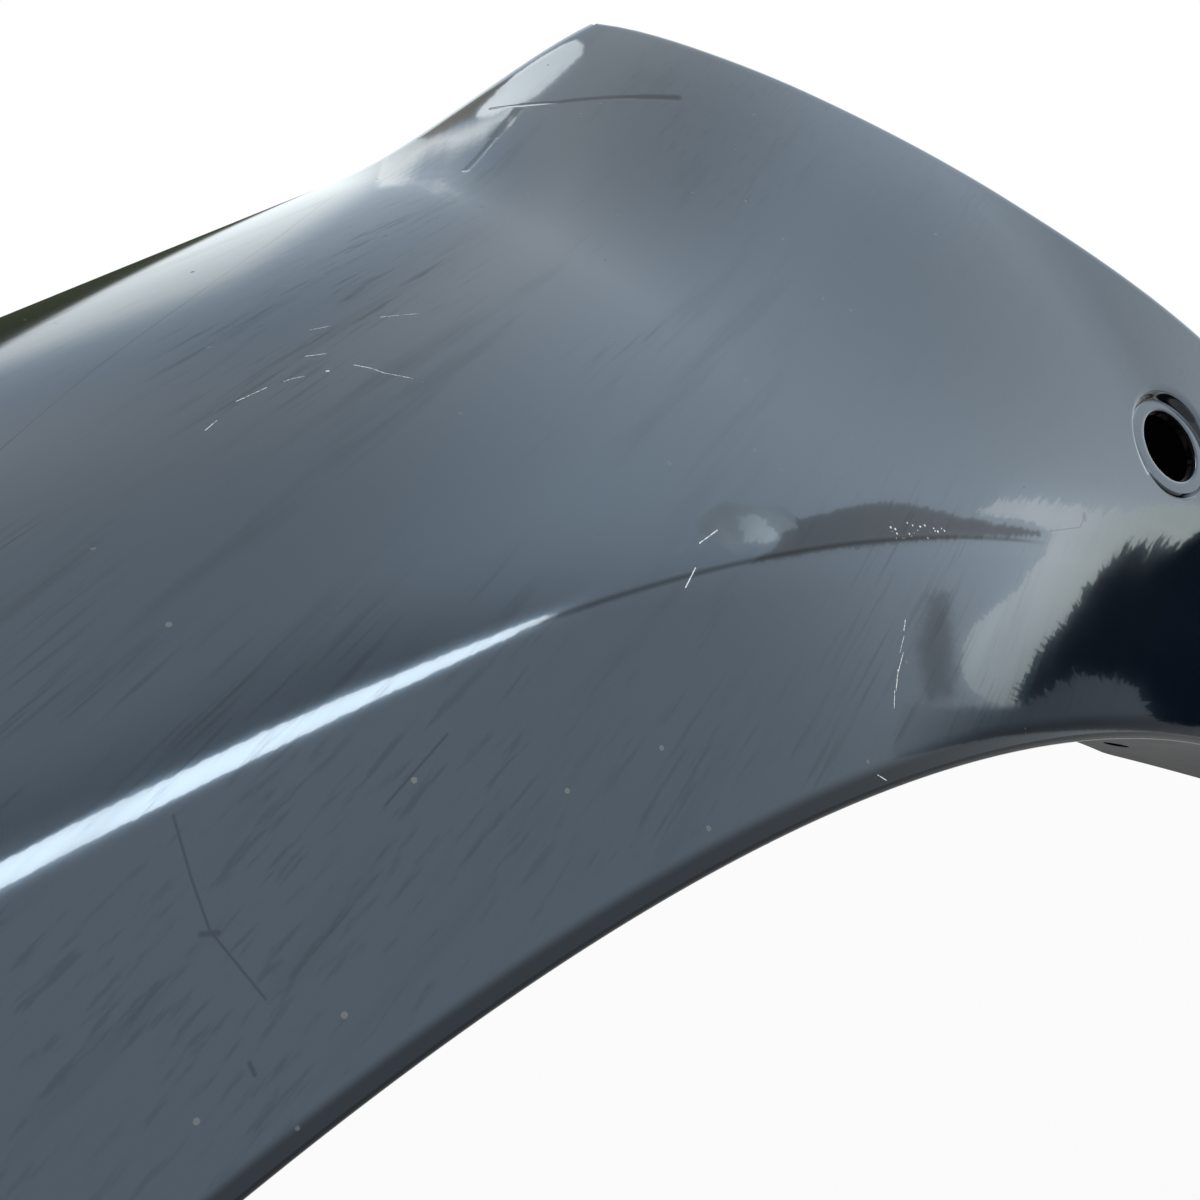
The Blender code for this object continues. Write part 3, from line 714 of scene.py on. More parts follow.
def buildScratch(core=0.15):
    # a straight scratch: one on the line from start to end, fading out from its core to its width
    tree, source, sink = newGroup("scratch", [
        ("Vector", "NodeSocketVector", None), ("Start", "NodeSocketVector", None),
        ("End", "NodeSocketVector", None), ("Width", "NodeSocketFloat", 0.0003)],
        [("Mask", "NodeSocketFloat")])
    run = vector(tree, "SUBTRACT", 0, source["End"], source["Start"])
    here = vector(tree, "SUBTRACT", 0, source["Vector"], source["Start"])
    share = calc(tree, "DIVIDE", vector(tree, "DOT_PRODUCT", 1, here, run),
                 vector(tree, "DOT_PRODUCT", 1, run, run))
    share = put(tree, "ShaderNodeClamp", {"Value": share}).outputs[0]
    along = put(tree, "ShaderNodeVectorMath", {0: run, "Scale": share}, operation="SCALE").outputs[0]
    away = vector(tree, "LENGTH", 1, vector(tree, "SUBTRACT", 0, here, along))
    mask = spread(tree, away, source["Width"], times(tree, source["Width"], core))
    tree.links.new(mask, sink["Mask"])
    return tree


def buildDust(largestSpeck=0.27, softness=0.10):
    # scattered specks, sparse and uneven, in shares of a cell
    tree, source, sink = newGroup("dust", [
        ("Vector", "NodeSocketVector", None), ("Scale", "NodeSocketFloat", 700.0),
        ("Amount", "NodeSocketFloat", 0.1)], [("Mask", "NodeSocketFloat")])
    cell = put(tree, "ShaderNodeTexVoronoi", {"Vector": source["Vector"], "Scale": source["Scale"]})
    size = put(tree, "ShaderNodeSeparateColor", {"Color": cell.outputs["Color"]}).outputs[0]
    radius = times(tree, calc(tree, "GREATER_THAN", source["Amount"], size), largestSpeck)
    near = calc(tree, "SUBTRACT", radius, cell.outputs["Distance"])
    tree.links.new(spread(tree, near, 0.0, softness), sink["Mask"])
    return tree


wipeMarks = buildWipeMarks()
scratch = buildScratch()
dust = buildDust()

# lines on the paint, each a chain of side-view places about the arch's centre, where every place
# after the first has the width of the stretch that ends there
marks = [
    ((-0.0942, 0.4466), (-0.0969, 0.4470, 0.00010)), ((-0.1022, 0.4480), (-0.1081, 0.4477, 0.00010)),
    ((-0.1113, 0.4473), (-0.1128, 0.4471, 0.00010), (-0.1148, 0.4466, 0.00007)),
    ((-0.1186, 0.4457), (-0.1189, 0.4456, 0.00026)),
    ((-0.1234, 0.4446), (-0.1251, 0.4430, 0.00011), (-0.1260, 0.4415, 0.00012), (-0.1290, 0.4388, 0.00007)),
    ((-0.1186, 0.4490), (-0.1219, 0.4479, 0.00008)), ((-0.1369, 0.4489), (-0.1434, 0.4465, 0.00005)),
    ((-0.1245, 0.4521), (-0.1281, 0.4512, 0.00005)), ((-0.1462, 0.3971), (-0.1516, 0.3966, 0.00014)),
    ((-0.1372, 0.3940), (-0.1417, 0.3950, 0.00014)), ((-0.1766, 0.3637), (-0.1745, 0.3628, 0.00013)),
    ((-0.1736, 0.3622), (-0.1700, 0.3611, 0.00009)), ((-0.1707, 0.3606), (-0.1660, 0.3592, 0.00011)),
    ((-0.1668, 0.3596), (-0.1631, 0.3578, 0.00015)), ((-0.1628, 0.3580), (-0.1599, 0.3563, 0.00009)),
    ((-0.1469, 0.3522), (-0.1478, 0.3505, 0.00014)), ((-0.0964, 0.4734), (-0.0976, 0.4701, 0.00007)),
]
darkMarks = [
    ((-0.0529, 0.4129), (-0.0502, 0.4062, 0.00028), (-0.0484, 0.4007, 0.00028), (-0.0487, 0.3913, 0.00028)),
    ((-0.0474, 0.4010), (-0.0490, 0.4000, 0.00060)), ((-0.0432, 0.3874), (-0.0429, 0.3861, 0.00045)),
    ((-0.0874, 0.4007), (-0.0745, 0.3990, 0.00030)), ((-0.2530, 0.3441), (-0.2522, 0.3437, 0.00120)),
    ((-0.2526, 0.3439), (-0.2487, 0.3433, 0.00030), (-0.2367, 0.3490, 0.00022)),
]
chips = [((-0.1882, 0.3758), (-0.1960, 0.3726, 0.0022)), ((-0.1960, 0.3718), (-0.2040, 0.3676, 0.0026))]
# the same with stations and girths: creases pressed into the shoulder, darkened with painted
# shade, longer dark lines on it, and a shallow dent above the crease
grooves = [
    ((-0.2237, 0.2548), (-0.2267, 0.2458, 0.00060), (-0.2311, 0.2349, 0.00090),
     (-0.2423, 0.2169, 0.00130), (-0.2476, 0.2087, 0.00170)),
    ((-0.2243, 0.2442), (-0.2134, 0.2402, 0.00210), (-0.1981, 0.2341, 0.00130)),
]
darkLines = [
    ((-0.1735, 0.2599), (-0.1486, 0.2458, 0.00035), (-0.1150, 0.2320, 0.00030),
     (-0.0916, 0.2228, 0.00028), (-0.0697, 0.2122, 0.00022)),
    ((-0.0979, 0.1955), (-0.0589, 0.1908, 0.00018)),
]
dents = [((-0.1549, 0.1169), (-0.1648, 0.1104, 0.0055))]


def onSkin(spot):
    # the panel's own coordinates of a side-view place on its outer face
    x, z = np.float64(spot[0]), np.float64(spot[1])
    return tuple(skinAt(x, girthAt(x, z)) - origin)


def onGirth(spot):
    # the same for a station and girth
    return tuple(skinAt(np.float64(spot[0]), np.float64(spot[1])) - origin)


# the paint: colours, depths and widths, shares of full strength, and ranges over which masks turn
# on, with the values at both ends where these aren't 0 and 1
paint = dict(base=(0.045, 0.066, 0.088, 1.0), lipColour=(0.022, 0.025, 0.028, 1.0),
             scratchColour=(0.92, 0.94, 0.95, 1.0), dustColour=(0.30, 0.30, 0.28, 1.0),
             # the next line: the colour of dark marks and of painted shade, and the near black of painted
             # shade inside the lamp hole
             markAndShadeColour=(0.012, 0.017, 0.022, 1.0), holeShadeColour=(0.002, 0.002, 0.002, 1.0),
             roughness=0.09, wipedRoughness=0.10, wornRoughness=0.38, coatRoughness=0.03,
             wornCoat=-0.9, darkCoat=-0.5, specular=0.5,
             wipeDirection=(-0.968, -0.235, 0.090), grain=1600.0, peel=170.0, noiseDetail=2.0,
             wipeDepth=0.0000055, peelDepth=0.000012, scratchHeight=0.00002,
             grooveDepth=0.00004, dentDepth=0.00012,
             broken=(0.40, 0.52, 0.35, 1.0), chipScale=900.0, speckScale=520.0, speckAmount=0.010,
             speckShare=0.30, markShare=0.45, lineShare=0.50, grooveShadeShare=0.72,
             fineWipes=(0.53, 0.68), wipeClouds=(0.42, 0.62), broadWipes=(0.52, 0.74), broadShare=0.5,
             wipedBeyond=(0.045, 0.085, 0.26, 0.60), handledBand=(0.055, 0.040),
             # among the wiping marks' ranges: ranges and shares of painted shade in the lamp seat's groove,
             # along the crease, at the arch's edge and inside the hole
             handledFront=(0.22, 0.12, 0.12, 1.0), seatGrooveShade=(1.2, 2.0), seatShadeShare=0.85,
             creaseShadeWidth=0.00075, creaseShadeFrom=0.098, creaseShadeTo=0.222, creaseShadeFade=0.008,
             creaseShadeShare=0.75, edgeShadeWidth=0.0018, edgeShadeWiden=0.0026, edgeShadeWidens=(-0.05, 0.25),
             edgeShadeCore=0.4, edgeShadeShare=0.92, onLip=(-0.0016, -0.0026), inHoleShade=(0.90, 1.0))


def lineMask(tree, spot, lines, placed):
    # the largest of the masks of every stretch of some lines
    return largest(tree, *[place(tree, scratch, {"Vector": spot, "Start": placed(start),
                                                 "End": placed(end), "Width": end[2]})["Mask"]
                           for line in lines for start, end in zip(line, line[1:])])


def creaseShadeMask(tree, around, beyond):
    # painted shade: a faint dark line along a stretch of the crease
    fade = paint["creaseShadeFade"]
    off = calc(tree, "ABSOLUTE", calc(tree, "SUBTRACT", beyond, panel["bandWidth"]))
    return times(tree, spread(tree, off, paint["creaseShadeWidth"], 0.0),
                 spread(tree, around, paint["creaseShadeFrom"] - fade, paint["creaseShadeFrom"] + fade),
                 spread(tree, around, paint["creaseShadeTo"] + fade, paint["creaseShadeTo"] - fade))


def wipedMask(tree, wipes, around, beyond):
    # wiping marks, stronger below the crease and towards the front
    fine = times(tree, spread(tree, wipes["Marks"], *paint["fineWipes"]),
                 spread(tree, wipes["Clouds"], *paint["wipeClouds"]))
    broad = spread(tree, wipes["Broad"], *paint["broadWipes"])
    wiped = calc(tree, "MULTIPLY_ADD", broad, paint["broadShare"], fine)
    handled = largest(tree, spread(tree, beyond, *paint["handledBand"]),
                      spread(tree, around, *paint["handledFront"]))
    return times(tree, wiped, spread(tree, beyond, *paint["wipedBeyond"]), handled)


def buildPaint():
    made, tree, shader = newMaterial("glossPaint")
    spot = put(tree, "ShaderNodeTexCoord").outputs["Object"]
    mapped = put(tree, "ShaderNodeUVMap", uv_map="roundArch").outputs[0]
    around, beyond = put(tree, "ShaderNodeSeparateXYZ", {"Vector": mapped}).outputs[:2]
    wipes = place(tree, wipeMarks, {"Vector": spot, "Direction": paint["wipeDirection"]})
    grain = noise(tree, spot, paint["grain"], paint["noiseDetail"])

    # pale marks, broken along their length, chips and specks
    pale = times(tree, lineMask(tree, spot, marks, onSkin), spread(tree, grain, *paint["broken"]))
    chipped = place(tree, dust, {"Vector": spot, "Scale": paint["chipScale"], "Amount": 1.0})["Mask"]
    pale = largest(tree, pale, times(tree, chipped, lineMask(tree, spot, chips, onSkin)))
    specks = place(tree, dust, {"Vector": spot, "Scale": paint["speckScale"],
                                "Amount": paint["speckAmount"]})["Mask"]

    # dark marks and wiping marks, and painted shade: in the grooves, in the lamp seat's groove, as the faint
    # line along the crease and as the lip's soft edge
    groove = lineMask(tree, spot, grooves, onGirth)
    # painted shade: a soft dark band on the skin along the arch's edge, where it turns over into the lip,
    # wider further round the arch
    edge = calc(tree, "MULTIPLY_ADD", spread(tree, around, *paint["edgeShadeWidens"]), paint["edgeShadeWiden"],
                paint["edgeShadeWidth"])
    edge = spread(tree, beyond, edge, times(tree, edge, paint["edgeShadeCore"]))
    dark = largest(tree, times(tree, lineMask(tree, spot, darkMarks, onSkin), paint["markShare"]),
                   times(tree, lineMask(tree, spot, darkLines, onGirth), paint["lineShare"]),
                   times(tree, groove, paint["grooveShadeShare"]),
                   wipedMask(tree, wipes, around, beyond),
                   times(tree, spread(tree, around, *paint["seatGrooveShade"]), paint["seatShadeShare"]),
                   times(tree, creaseShadeMask(tree, around, beyond), paint["creaseShadeShare"]),
                   times(tree, edge, paint["edgeShadeShare"]))

    lip = spread(tree, beyond, *paint["onLip"])
    # painted shade: inside the lamp hole the paint turns near black and loses its shine and coat
    hole = spread(tree, beyond, *paint["inHoleShade"])
    colour = tint(tree, dark, paint["base"], paint["markAndShadeColour"])
    colour = tint(tree, lip, colour, paint["lipColour"])
    colour = tint(tree, times(tree, specks, paint["speckShare"]), colour, paint["dustColour"])
    colour = tint(tree, pale, colour, paint["scratchColour"])
    colour = tint(tree, hole, colour, paint["holeShadeColour"])
    worn = largest(tree, pale, specks, lip, hole)
    rough = calc(tree, "MULTIPLY_ADD", wipes["Broad"], paint["wipedRoughness"], paint["roughness"])
    rough = calc(tree, "MULTIPLY_ADD", worn, paint["wornRoughness"], rough)
    coat = times(tree, calc(tree, "MULTIPLY_ADD", worn, paint["wornCoat"], 1.0),
                 calc(tree, "MULTIPLY_ADD", dark, paint["darkCoat"], 1.0))
    specular = calc(tree, "MULTIPLY_ADD", hole, -paint["specular"], paint["specular"])

    height = times(tree, noise(tree, spot, paint["peel"], paint["noiseDetail"]), paint["peelDepth"])
    for mask, rise in ((wipes["Marks"], paint["wipeDepth"]), (pale, paint["scratchHeight"]),
                       (groove, -paint["grooveDepth"]),
                       (lineMask(tree, spot, dents, onGirth), -paint["dentDepth"])):
        height = calc(tree, "MULTIPLY_ADD", mask, rise, height)
    bump = put(tree, "ShaderNodeBump", {"Height": height, "Distance": 1.0, "Strength": 1.0}).outputs[0]
    for key, value in {"Base Color": colour, "Metallic": calc(tree, "SUBTRACT", 1.0, worn),
                       "Roughness": rough, "Coat Weight": coat, "Specular IOR Level": specular,
                       "Normal": bump, "Coat Normal": bump}.items():
        tree.links.new(value, shader.inputs[key])
    shader.inputs["Coat Roughness"].default_value = paint["coatRoughness"]
    return made


primer = dict(base=(0.028, 0.031, 0.033, 1.0), pale=(0.07, 0.072, 0.070, 1.0), roughness=0.46,
              cloudRoughness=0.2, clouds=(14.0, 5.0), grain=(900.0, 2.0), grainDepth=0.00003,
              paler=(0.35, 0.75, 0.0, 0.5), speckScale=420.0, speckAmount=0.10, speckShare=0.5,
              dustColour=(0.16, 0.155, 0.14, 1.0))


def buildPrimer():
    made, tree, shader = newMaterial("innerPrimer")
    spot = put(tree, "ShaderNodeTexCoord").outputs["Object"]
    cloud = noise(tree, spot, *primer["clouds"])
    grain = noise(tree, spot, *primer["grain"])
    specks = place(tree, dust, {"Vector": spot, "Scale": primer["speckScale"],
                                "Amount": primer["speckAmount"]})["Mask"]
    colour = tint(tree, spread(tree, cloud, *primer["paler"]), primer["base"], primer["pale"])
    colour = tint(tree, times(tree, specks, primer["speckShare"]), colour, primer["dustColour"])
    rough = calc(tree, "MULTIPLY_ADD", cloud, primer["cloudRoughness"], primer["roughness"])
    bump = put(tree, "ShaderNodeBump", {"Height": times(tree, grain, primer["grainDepth"]), "Distance": 1.0})
    for key, value in {"Base Color": colour, "Roughness": rough, "Normal": bump.outputs[0]}.items():
        tree.links.new(value, shader.inputs[key])
    return made


fender = buildPanel()
fender.data.materials.clear()
fender.data.materials.append(buildPaint())
fender.data.materials.append(buildPrimer())
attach(fender, "root")
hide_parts("fender_panel")
print("fender shell:", len(fender.data.polygons), "faces")


# the camera, at the photograph's place and roll; the place is about the arch's centre
shot = dict(place=(-0.02553, 0.12579, 0.46328), view=(-0.52539, -0.77986, -0.34026),
            right=(-0.67573, 0.62545, -0.39013), focalPixels=1203.0, imageSide=1200.0,
            clipStart=0.01)

ground = dict(size=2.6, gap=0.0005, colour=(0.80, 0.80, 0.80, 1.0), shown=0.93)


def buildFloor():
    # a plain pale floor: grey to the lamps, with the object's shadow, and nearly white to the camera
    middle = np.array([(cadBox[0][0] + cadBox[1][0]) / 2.0, (cadBox[0][1] + cadBox[1][1]) / 2.0,
                       cadBox[0][2] - ground["gap"]])
    half = ground["size"] / 2.0
    item = newObject("floor", square(middle, np.array([half, 0.0, 0.0]), np.array([0.0, half, 0.0])),
                     [(0, 1, 2, 3)])
    made, tree, shader = newMaterial("floor")
    tree.nodes.remove(shader)
    matt = put(tree, "ShaderNodeBsdfDiffuse", {"Color": ground["colour"]}).outputs[0]
    glow = put(tree, "ShaderNodeEmission", {"Color": (1.0, 1.0, 1.0, 1.0)}).outputs[0]
    seen = times(tree, put(tree, "ShaderNodeLightPath").outputs["Is Camera Ray"], ground["shown"])
    mixed = put(tree, "ShaderNodeMixShader", {0: seen, 1: matt, 2: glow}).outputs[0]
    tree.links.new(mixed, tree.nodes["Material Output"].inputs["Surface"])
    item.data.materials.append(made)


def heading(azimuth, elevation):
    # unit direction: azimuth from outboard (+Y) towards the front (+X), and height
    a, e = math.radians(azimuth), math.radians(elevation)
    return np.array([math.sin(a) * math.cos(e), math.cos(a) * math.cos(e), math.sin(e)])


def facing(target, azimuth, elevation, distance):
    # the frame of a thing that faces the target from a direction
    back = heading(azimuth, elevation)
    right = unit(np.cross([0.0, 0.0, 1.0], back))
    up = np.cross(back, right)
    spot = np.array(target) + back * distance
    return Matrix([[right[0], up[0], back[0], spot[0]], [right[1], up[1], back[1], spot[1]],
                   [right[2], up[2], back[2], spot[2]], [0.0, 0.0, 0.0, 1.0]])


key = dict(target=(0.05, 0.17, -0.04), azimuth=-28.0, elevation=38.0, distance=1.7,
           width=0.9, height=0.6, power=9.0, stripGlow=9.0, stripColour=(1.0, 1.0, 0.98, 1.0),
           stripStep=0.012, stripRagged=0.008, stripSeed=5,
           strip=((-1.0, 46.0), (-12.0, 43.5), (-20.0, 37.5), (-31.0, 31.5), (-40.0, 27.5),
                  (-47.0, 25.8), (-52.5, 24.5), (-53.0, 26.0), (-49.0, 30.0), (-43.5, 36.0),
                  (-38.0, 42.0), (-29.0, 49.0), (-19.0, 56.0), (-10.0, 61.0), (-1.0, 63.0)))


def buildKey():
    # a soft box for the matt faces, and a curved strip of light that only the paint shows, along
    # the crease: its corners are azimuths and elevations as seen from the target
    lampData = bpy.data.lights.new("softbox", "AREA")
    lampData.shape = "RECTANGLE"
    lampData.size, lampData.size_y = key["width"], key["height"]
    lampData.energy = key["power"]
    item = bpy.data.objects.new("softbox", lampData)
    item.matrix_world = facing(key["target"], key["azimuth"], key["elevation"], key["distance"])
    item.visible_camera = False
    item.visible_glossy = False
    bpy.context.scene.collection.objects.link(item)

    ways = np.array([heading(*corner) for corner in key["strip"]])
    mid, down, out = [np.array(facing((0.0, 0.0, 0.0), key["azimuth"], key["elevation"], 1.0))[:3, k]
                      for k in (0, 1, 2)]
    flat = np.stack([ways @ mid, ways @ down], axis=1) / (ways @ out)[:, None] * key["distance"]
    spots = raggedOutline(flat, key["stripStep"], key["stripRagged"], key["stripSeed"])[0]
    points = [(across, up, 0.0) for across, up in spots]
    strip = reflectedOnly("lightStrip", points, [tuple(range(len(spots)))])
    strip.matrix_world = item.matrix_world
    made = glowing("lightStrip", key["stripColour"])[0]
    made.node_tree.nodes["Emission"].inputs["Strength"].default_value = key["stripGlow"]
    strip.data.materials.append(made)


def reflectedOnly(name, points, faces):
    # a thing of the stage that is seen only by reflection
    item = newObject(name, points, faces)
    item.visible_camera = False
    item.visible_diffuse = False
    item.visible_shadow = False
    return item


def glowing(name, colour):
    # a material that glows in one colour, its node tree and its glow
    made, tree, shader = newMaterial(name)
    tree.nodes.remove(shader)
    glow = put(tree, "ShaderNodeEmission", {"Color": colour})
    tree.links.new(glow.outputs[0], tree.nodes["Material Output"].inputs["Surface"])
    return made, tree, glow


# cards that stand beside the panel and are seen only in its paint: each stand has a target and
# the way to it, and the outlines are metres across and up on the stand
stands = dict(
    side=dict(target=(-0.1100, 0.1750, -0.1000), azimuth=-70.0, elevation=0.0, distance=0.100),
    crease=dict(target=(-0.0726, 0.1675, -0.0741), azimuth=-62.0, elevation=8.0, distance=0.040),
    dent=dict(target=(-0.0393, 0.1660, -0.0566), azimuth=-65.0, elevation=15.0, distance=0.030),
    corner=dict(target=(-0.1056, 0.0643, 0.0273), azimuth=-136.0, elevation=48.0, distance=0.030))
cards = dict(
    step=0.0005, apart=0.001, firstSeed=3,
    dark=dict(stand="side", layer=1, ragged=0.0010, soft=0.0005, foot=(0.006, 0.014, 0.030, 1.0),
              top=(0.012, 0.020, 0.034, 1.0), low=-0.09, high=-0.03,
              outline=((0.1000, -0.0560), (0.0251, -0.0483), (0.0218, -0.0441), (0.0176, -0.0388),
                       (0.0140, -0.0346), (0.0109, -0.0332), (0.0075, -0.0324), (0.0018, -0.0317),
                       (-0.0063, -0.0306), (-0.0146, -0.0296), (-0.0250, -0.0301), (-0.0356, -0.0304),
                       (-0.0385, -0.0313), (-0.0334, -0.0367), (-0.0263, -0.0386), (-0.0201, -0.0412),
                       (-0.0147, -0.0436), (-0.0097, -0.0500), (-0.0057, -0.0568), (-0.0034, -0.0615),
                       (-0.0052, -0.0661), (-0.0081, -0.0710), (-0.0071, -0.0771), (-0.0043, -0.0815),
                       (-0.0002, -0.0865), (0.0100, -0.0950), (0.1000, -0.0950))),
    pale=dict(stand="side", layer=0, ragged=0.0004, soft=0.0005, foot=(1.30, 1.40, 1.32, 1.0),
              top=(2.30, 2.35, 2.35, 1.0), low=-0.040, high=0.000,
              outline=((-0.0028, 0.0131), (0.0008, 0.0085), (0.0040, 0.0013), (0.0077, -0.0095),
                       (0.0119, -0.0196), (0.0152, -0.0259), (0.0188, -0.0322), (0.0225, -0.0360),
                       (0.0254, -0.0394), (0.0600, -0.0700), (0.0600, -0.0900), (0.0200, -0.0600),
                       (-0.0100, -0.0400), (-0.0385, -0.0313), (-0.0411, -0.0307), (-0.0449, -0.0234),
                       (-0.0454, -0.0163), (-0.0412, -0.0104), (-0.0345, -0.0077), (-0.0268, -0.0078),
                       (-0.0164, -0.0108), (-0.0071, -0.0139), (-0.0007, -0.0147), (0.0043, -0.0148),
                       (0.0044, -0.0124), (0.0006, 0.0011))),
    dull=dict(stand="side", layer=-1, ragged=0.0005, soft=0.0060, foot=(0.60, 0.61, 0.62, 1.0),
              top=(0.68, 0.68, 0.68, 1.0), low=-0.015, high=0.008,
              outline=((-0.0300, 0.0095), (-0.0256, 0.0050), (-0.0365, -0.0044), (-0.0520, -0.0140),
                       (-0.0600, -0.0075), (-0.0480, 0.0040))),
    under=dict(stand="side", layer=0.5, ragged=0.0003, soft=0.0030, foot=(0.22, 0.25, 0.29, 1.0),
               top=(0.86, 0.90, 0.94, 1.0), low=-0.034, high=-0.002,
               outline=((-0.0667, -0.0017), (-0.0534, -0.0174), (-0.0389, -0.0322), (-0.0259, -0.0370),
                        (-0.0147, -0.0410), (-0.0050, -0.0480), (0.0020, -0.0607), (0.0020, -0.0900),
                        (-0.0043, -0.0940), (-0.0298, -0.0680), (-0.0567, -0.0410), (-0.0896, -0.0150),
                        (-0.0800, -0.0040))),
    lens=dict(stand="crease", layer=0, ragged=0.0003, soft=0.0010, foot=(0.72, 0.72, 0.72, 1.0),
              top=(0.70, 0.70, 0.70, 1.0), low=-0.02, high=0.02,
              outline=((-0.0062, 0.0235), (0.0028, 0.0114), (0.0060, 0.0051), (0.0088, -0.0043),
                       (0.0112, -0.0141), (0.0148, -0.0228), (0.0190, -0.0309), (0.0183, -0.0317),
                       (0.0104, -0.0208), (-0.0003, -0.0056), (-0.0115, 0.0091), (-0.0234, 0.0246))),
    spot=dict(stand="dent", layer=1, ragged=0.0002, soft=0.0005, foot=(2.6, 2.7, 2.7, 1.0),
              top=(1.6, 1.7, 1.7, 1.0), low=-0.004, high=0.006,
              outline=((0.0004, 0.0061), (0.0017, 0.0031), (0.0017, -0.0017), (0.0005, -0.0048),
                       (-0.0011, -0.0022), (-0.0019, 0.0020))),
    dome=dict(stand="dent", layer=0, ragged=0.0002, soft=0.0012, foot=(1.45, 1.5, 1.5, 1.0),
              top=(1.15, 1.2, 1.2, 1.0), low=-0.006, high=0.012,
              outline=((-0.0009, 0.0151), (0.0044, 0.0103), (0.0047, 0.0021), (0.0023, -0.0063),
                       (-0.0017, -0.0025), (-0.0038, 0.0127))),
    flash=dict(stand="corner", layer=1, ragged=0.0001, soft=0.0012, foot=(2.3, 2.4, 2.4, 1.0),
               top=(2.6, 2.7, 2.7, 1.0), low=-0.006, high=0.003,
               outline=((-0.0200, -0.0088), (-0.0232, -0.0084), (-0.0258, -0.0062), (-0.0253, -0.0037),
                        (-0.0220, -0.0016), (-0.0166, 0.0009), (-0.0112, 0.0029),
                        (-0.0069, 0.0032), (-0.0015, 0.0025), (0.0038, 0.0015), (0.0070, 0.0002),
                        (0.0085, -0.0009), (0.0068, -0.0020), (0.0022, -0.0030), (-0.0015, -0.0047),
                        (-0.0042, -0.0064), (-0.0084, -0.0073), (-0.0137, -0.0083))),
    wedge=dict(stand="corner", layer=0, ragged=0.0001, soft=0.0028, foot=(1.25, 1.32, 1.34, 1.0),
               top=(2.0, 2.1, 2.1, 1.0), low=-0.008, high=0.003,
               outline=((-0.0033, 0.0041), (0.0016, 0.0023), (0.0081, 0.0005), (0.0144, -0.0012),
                        (0.0207, -0.0040), (0.0281, -0.0066), (0.0381, -0.0109), (0.0350, -0.0060),
                        (0.0234, -0.0030), (0.0132, 0.0022), (0.0063, 0.0042), (-0.0006, 0.0040))),
    brown=dict(stand="corner", layer=2, ragged=0.0001, soft=0.0010, foot=(0.42, 0.40, 0.36, 1.0),
               top=(0.50, 0.48, 0.42, 1.0), low=-0.007, high=0.0,
               outline=((-0.0038, -0.0066), (0.0059, -0.0080), (0.0171, -0.0085), (0.0270, -0.0085),
                        (0.0240, -0.0050), (0.0186, -0.0032), (0.0101, -0.0014), (0.0068, -0.0020),
                        (0.0022, -0.0030), (-0.0015, -0.0047))))


def raggedOutline(outline, step, rough, seed):
    # the outline in short steps, each moved in or out by a seeded random amount, and the ways out
    points = np.array(outline)
    following = np.roll(points, -1, axis=0)
    turn = np.sign((points[:, 0] * following[:, 1] - points[:, 1] * following[:, 0]).sum())
    chance = np.random.default_rng(seed)
    spots, ways = [], []
    for start, end in zip(points, following):
        run = end - start
        count = max(1, int(np.linalg.norm(run) / step))
        out = np.array([run[1], -run[0]]) / np.linalg.norm(run) * turn
        shares = np.arange(count)[:, None] / count
        spots.append(start + run * shares + out * chance.normal(0.0, rough, (count, 1)))
        ways.append(np.tile(out, (count, 1)))
    return np.concatenate(spots), np.concatenate(ways)


def buildCard(name, seed):
    # a flat card that glows from its foot colour at one height to its top colour at another, with
    # a rim round it that turns clear towards its outer side
    card = cards[name]
    spots, ways = raggedOutline(card["outline"], cards["step"], card["ragged"], seed)
    ways = (ways + np.roll(ways, 1, axis=0)) / 2.0
    count = len(spots)
    inner, outer = spots - ways * card["soft"] / 2.0, spots + ways * card["soft"] / 2.0
    filled = delaunay_2d_cdt([Vector(spot) for spot in inner], [], [list(range(count))], 1, 1e-7)
    flat = [tuple(spot) for spot in filled[0]] + inner.tolist() + outer.tolist()
    start = len(filled[0])
    rim = [(start + k, start + (k + 1) % count, start + count + (k + 1) % count, start + count + k)
           for k in range(count)]
    level = card["layer"] * -cards["apart"]
    item = reflectedOnly(name, [(across, up, level) for across, up in flat], list(filled[2]) + rim)
    cover = item.data.attributes.new("cover", "FLOAT", "POINT")
    cover.data.foreach_set("value", np.repeat([1.0, 0.0], [start + count, count]).astype(np.float32))
    item.matrix_world = facing(**stands[card["stand"]])
    made, tree, glow = glowing(name, card["foot"])
    spot = put(tree, "ShaderNodeTexCoord").outputs["Object"]
    height = put(tree, "ShaderNodeSeparateXYZ", {"Vector": spot}).outputs[1]
    shade = tint(tree, spread(tree, height, card["low"], card["high"]), card["foot"], card["top"])
    tree.links.new(shade, glow.inputs["Color"])
    clear = put(tree, "ShaderNodeBsdfTransparent").outputs[0]
    held = spread(tree, put(tree, "ShaderNodeAttribute", attribute_name="cover").outputs["Fac"], 0.0, 1.0)
    mixed = put(tree, "ShaderNodeMixShader", {0: held, 1: clear, 2: glow.outputs[0]}).outputs[0]
    tree.links.new(mixed, tree.nodes["Material Output"].inputs["Surface"])
    item.data.materials.append(made)


# painted shade: place, size and finish of the black card seen through the lamp hole
holeShadeCard = dict(behind=0.024, side=0.050, colour=(0.004, 0.004, 0.005, 1.0), roughness=0.9)


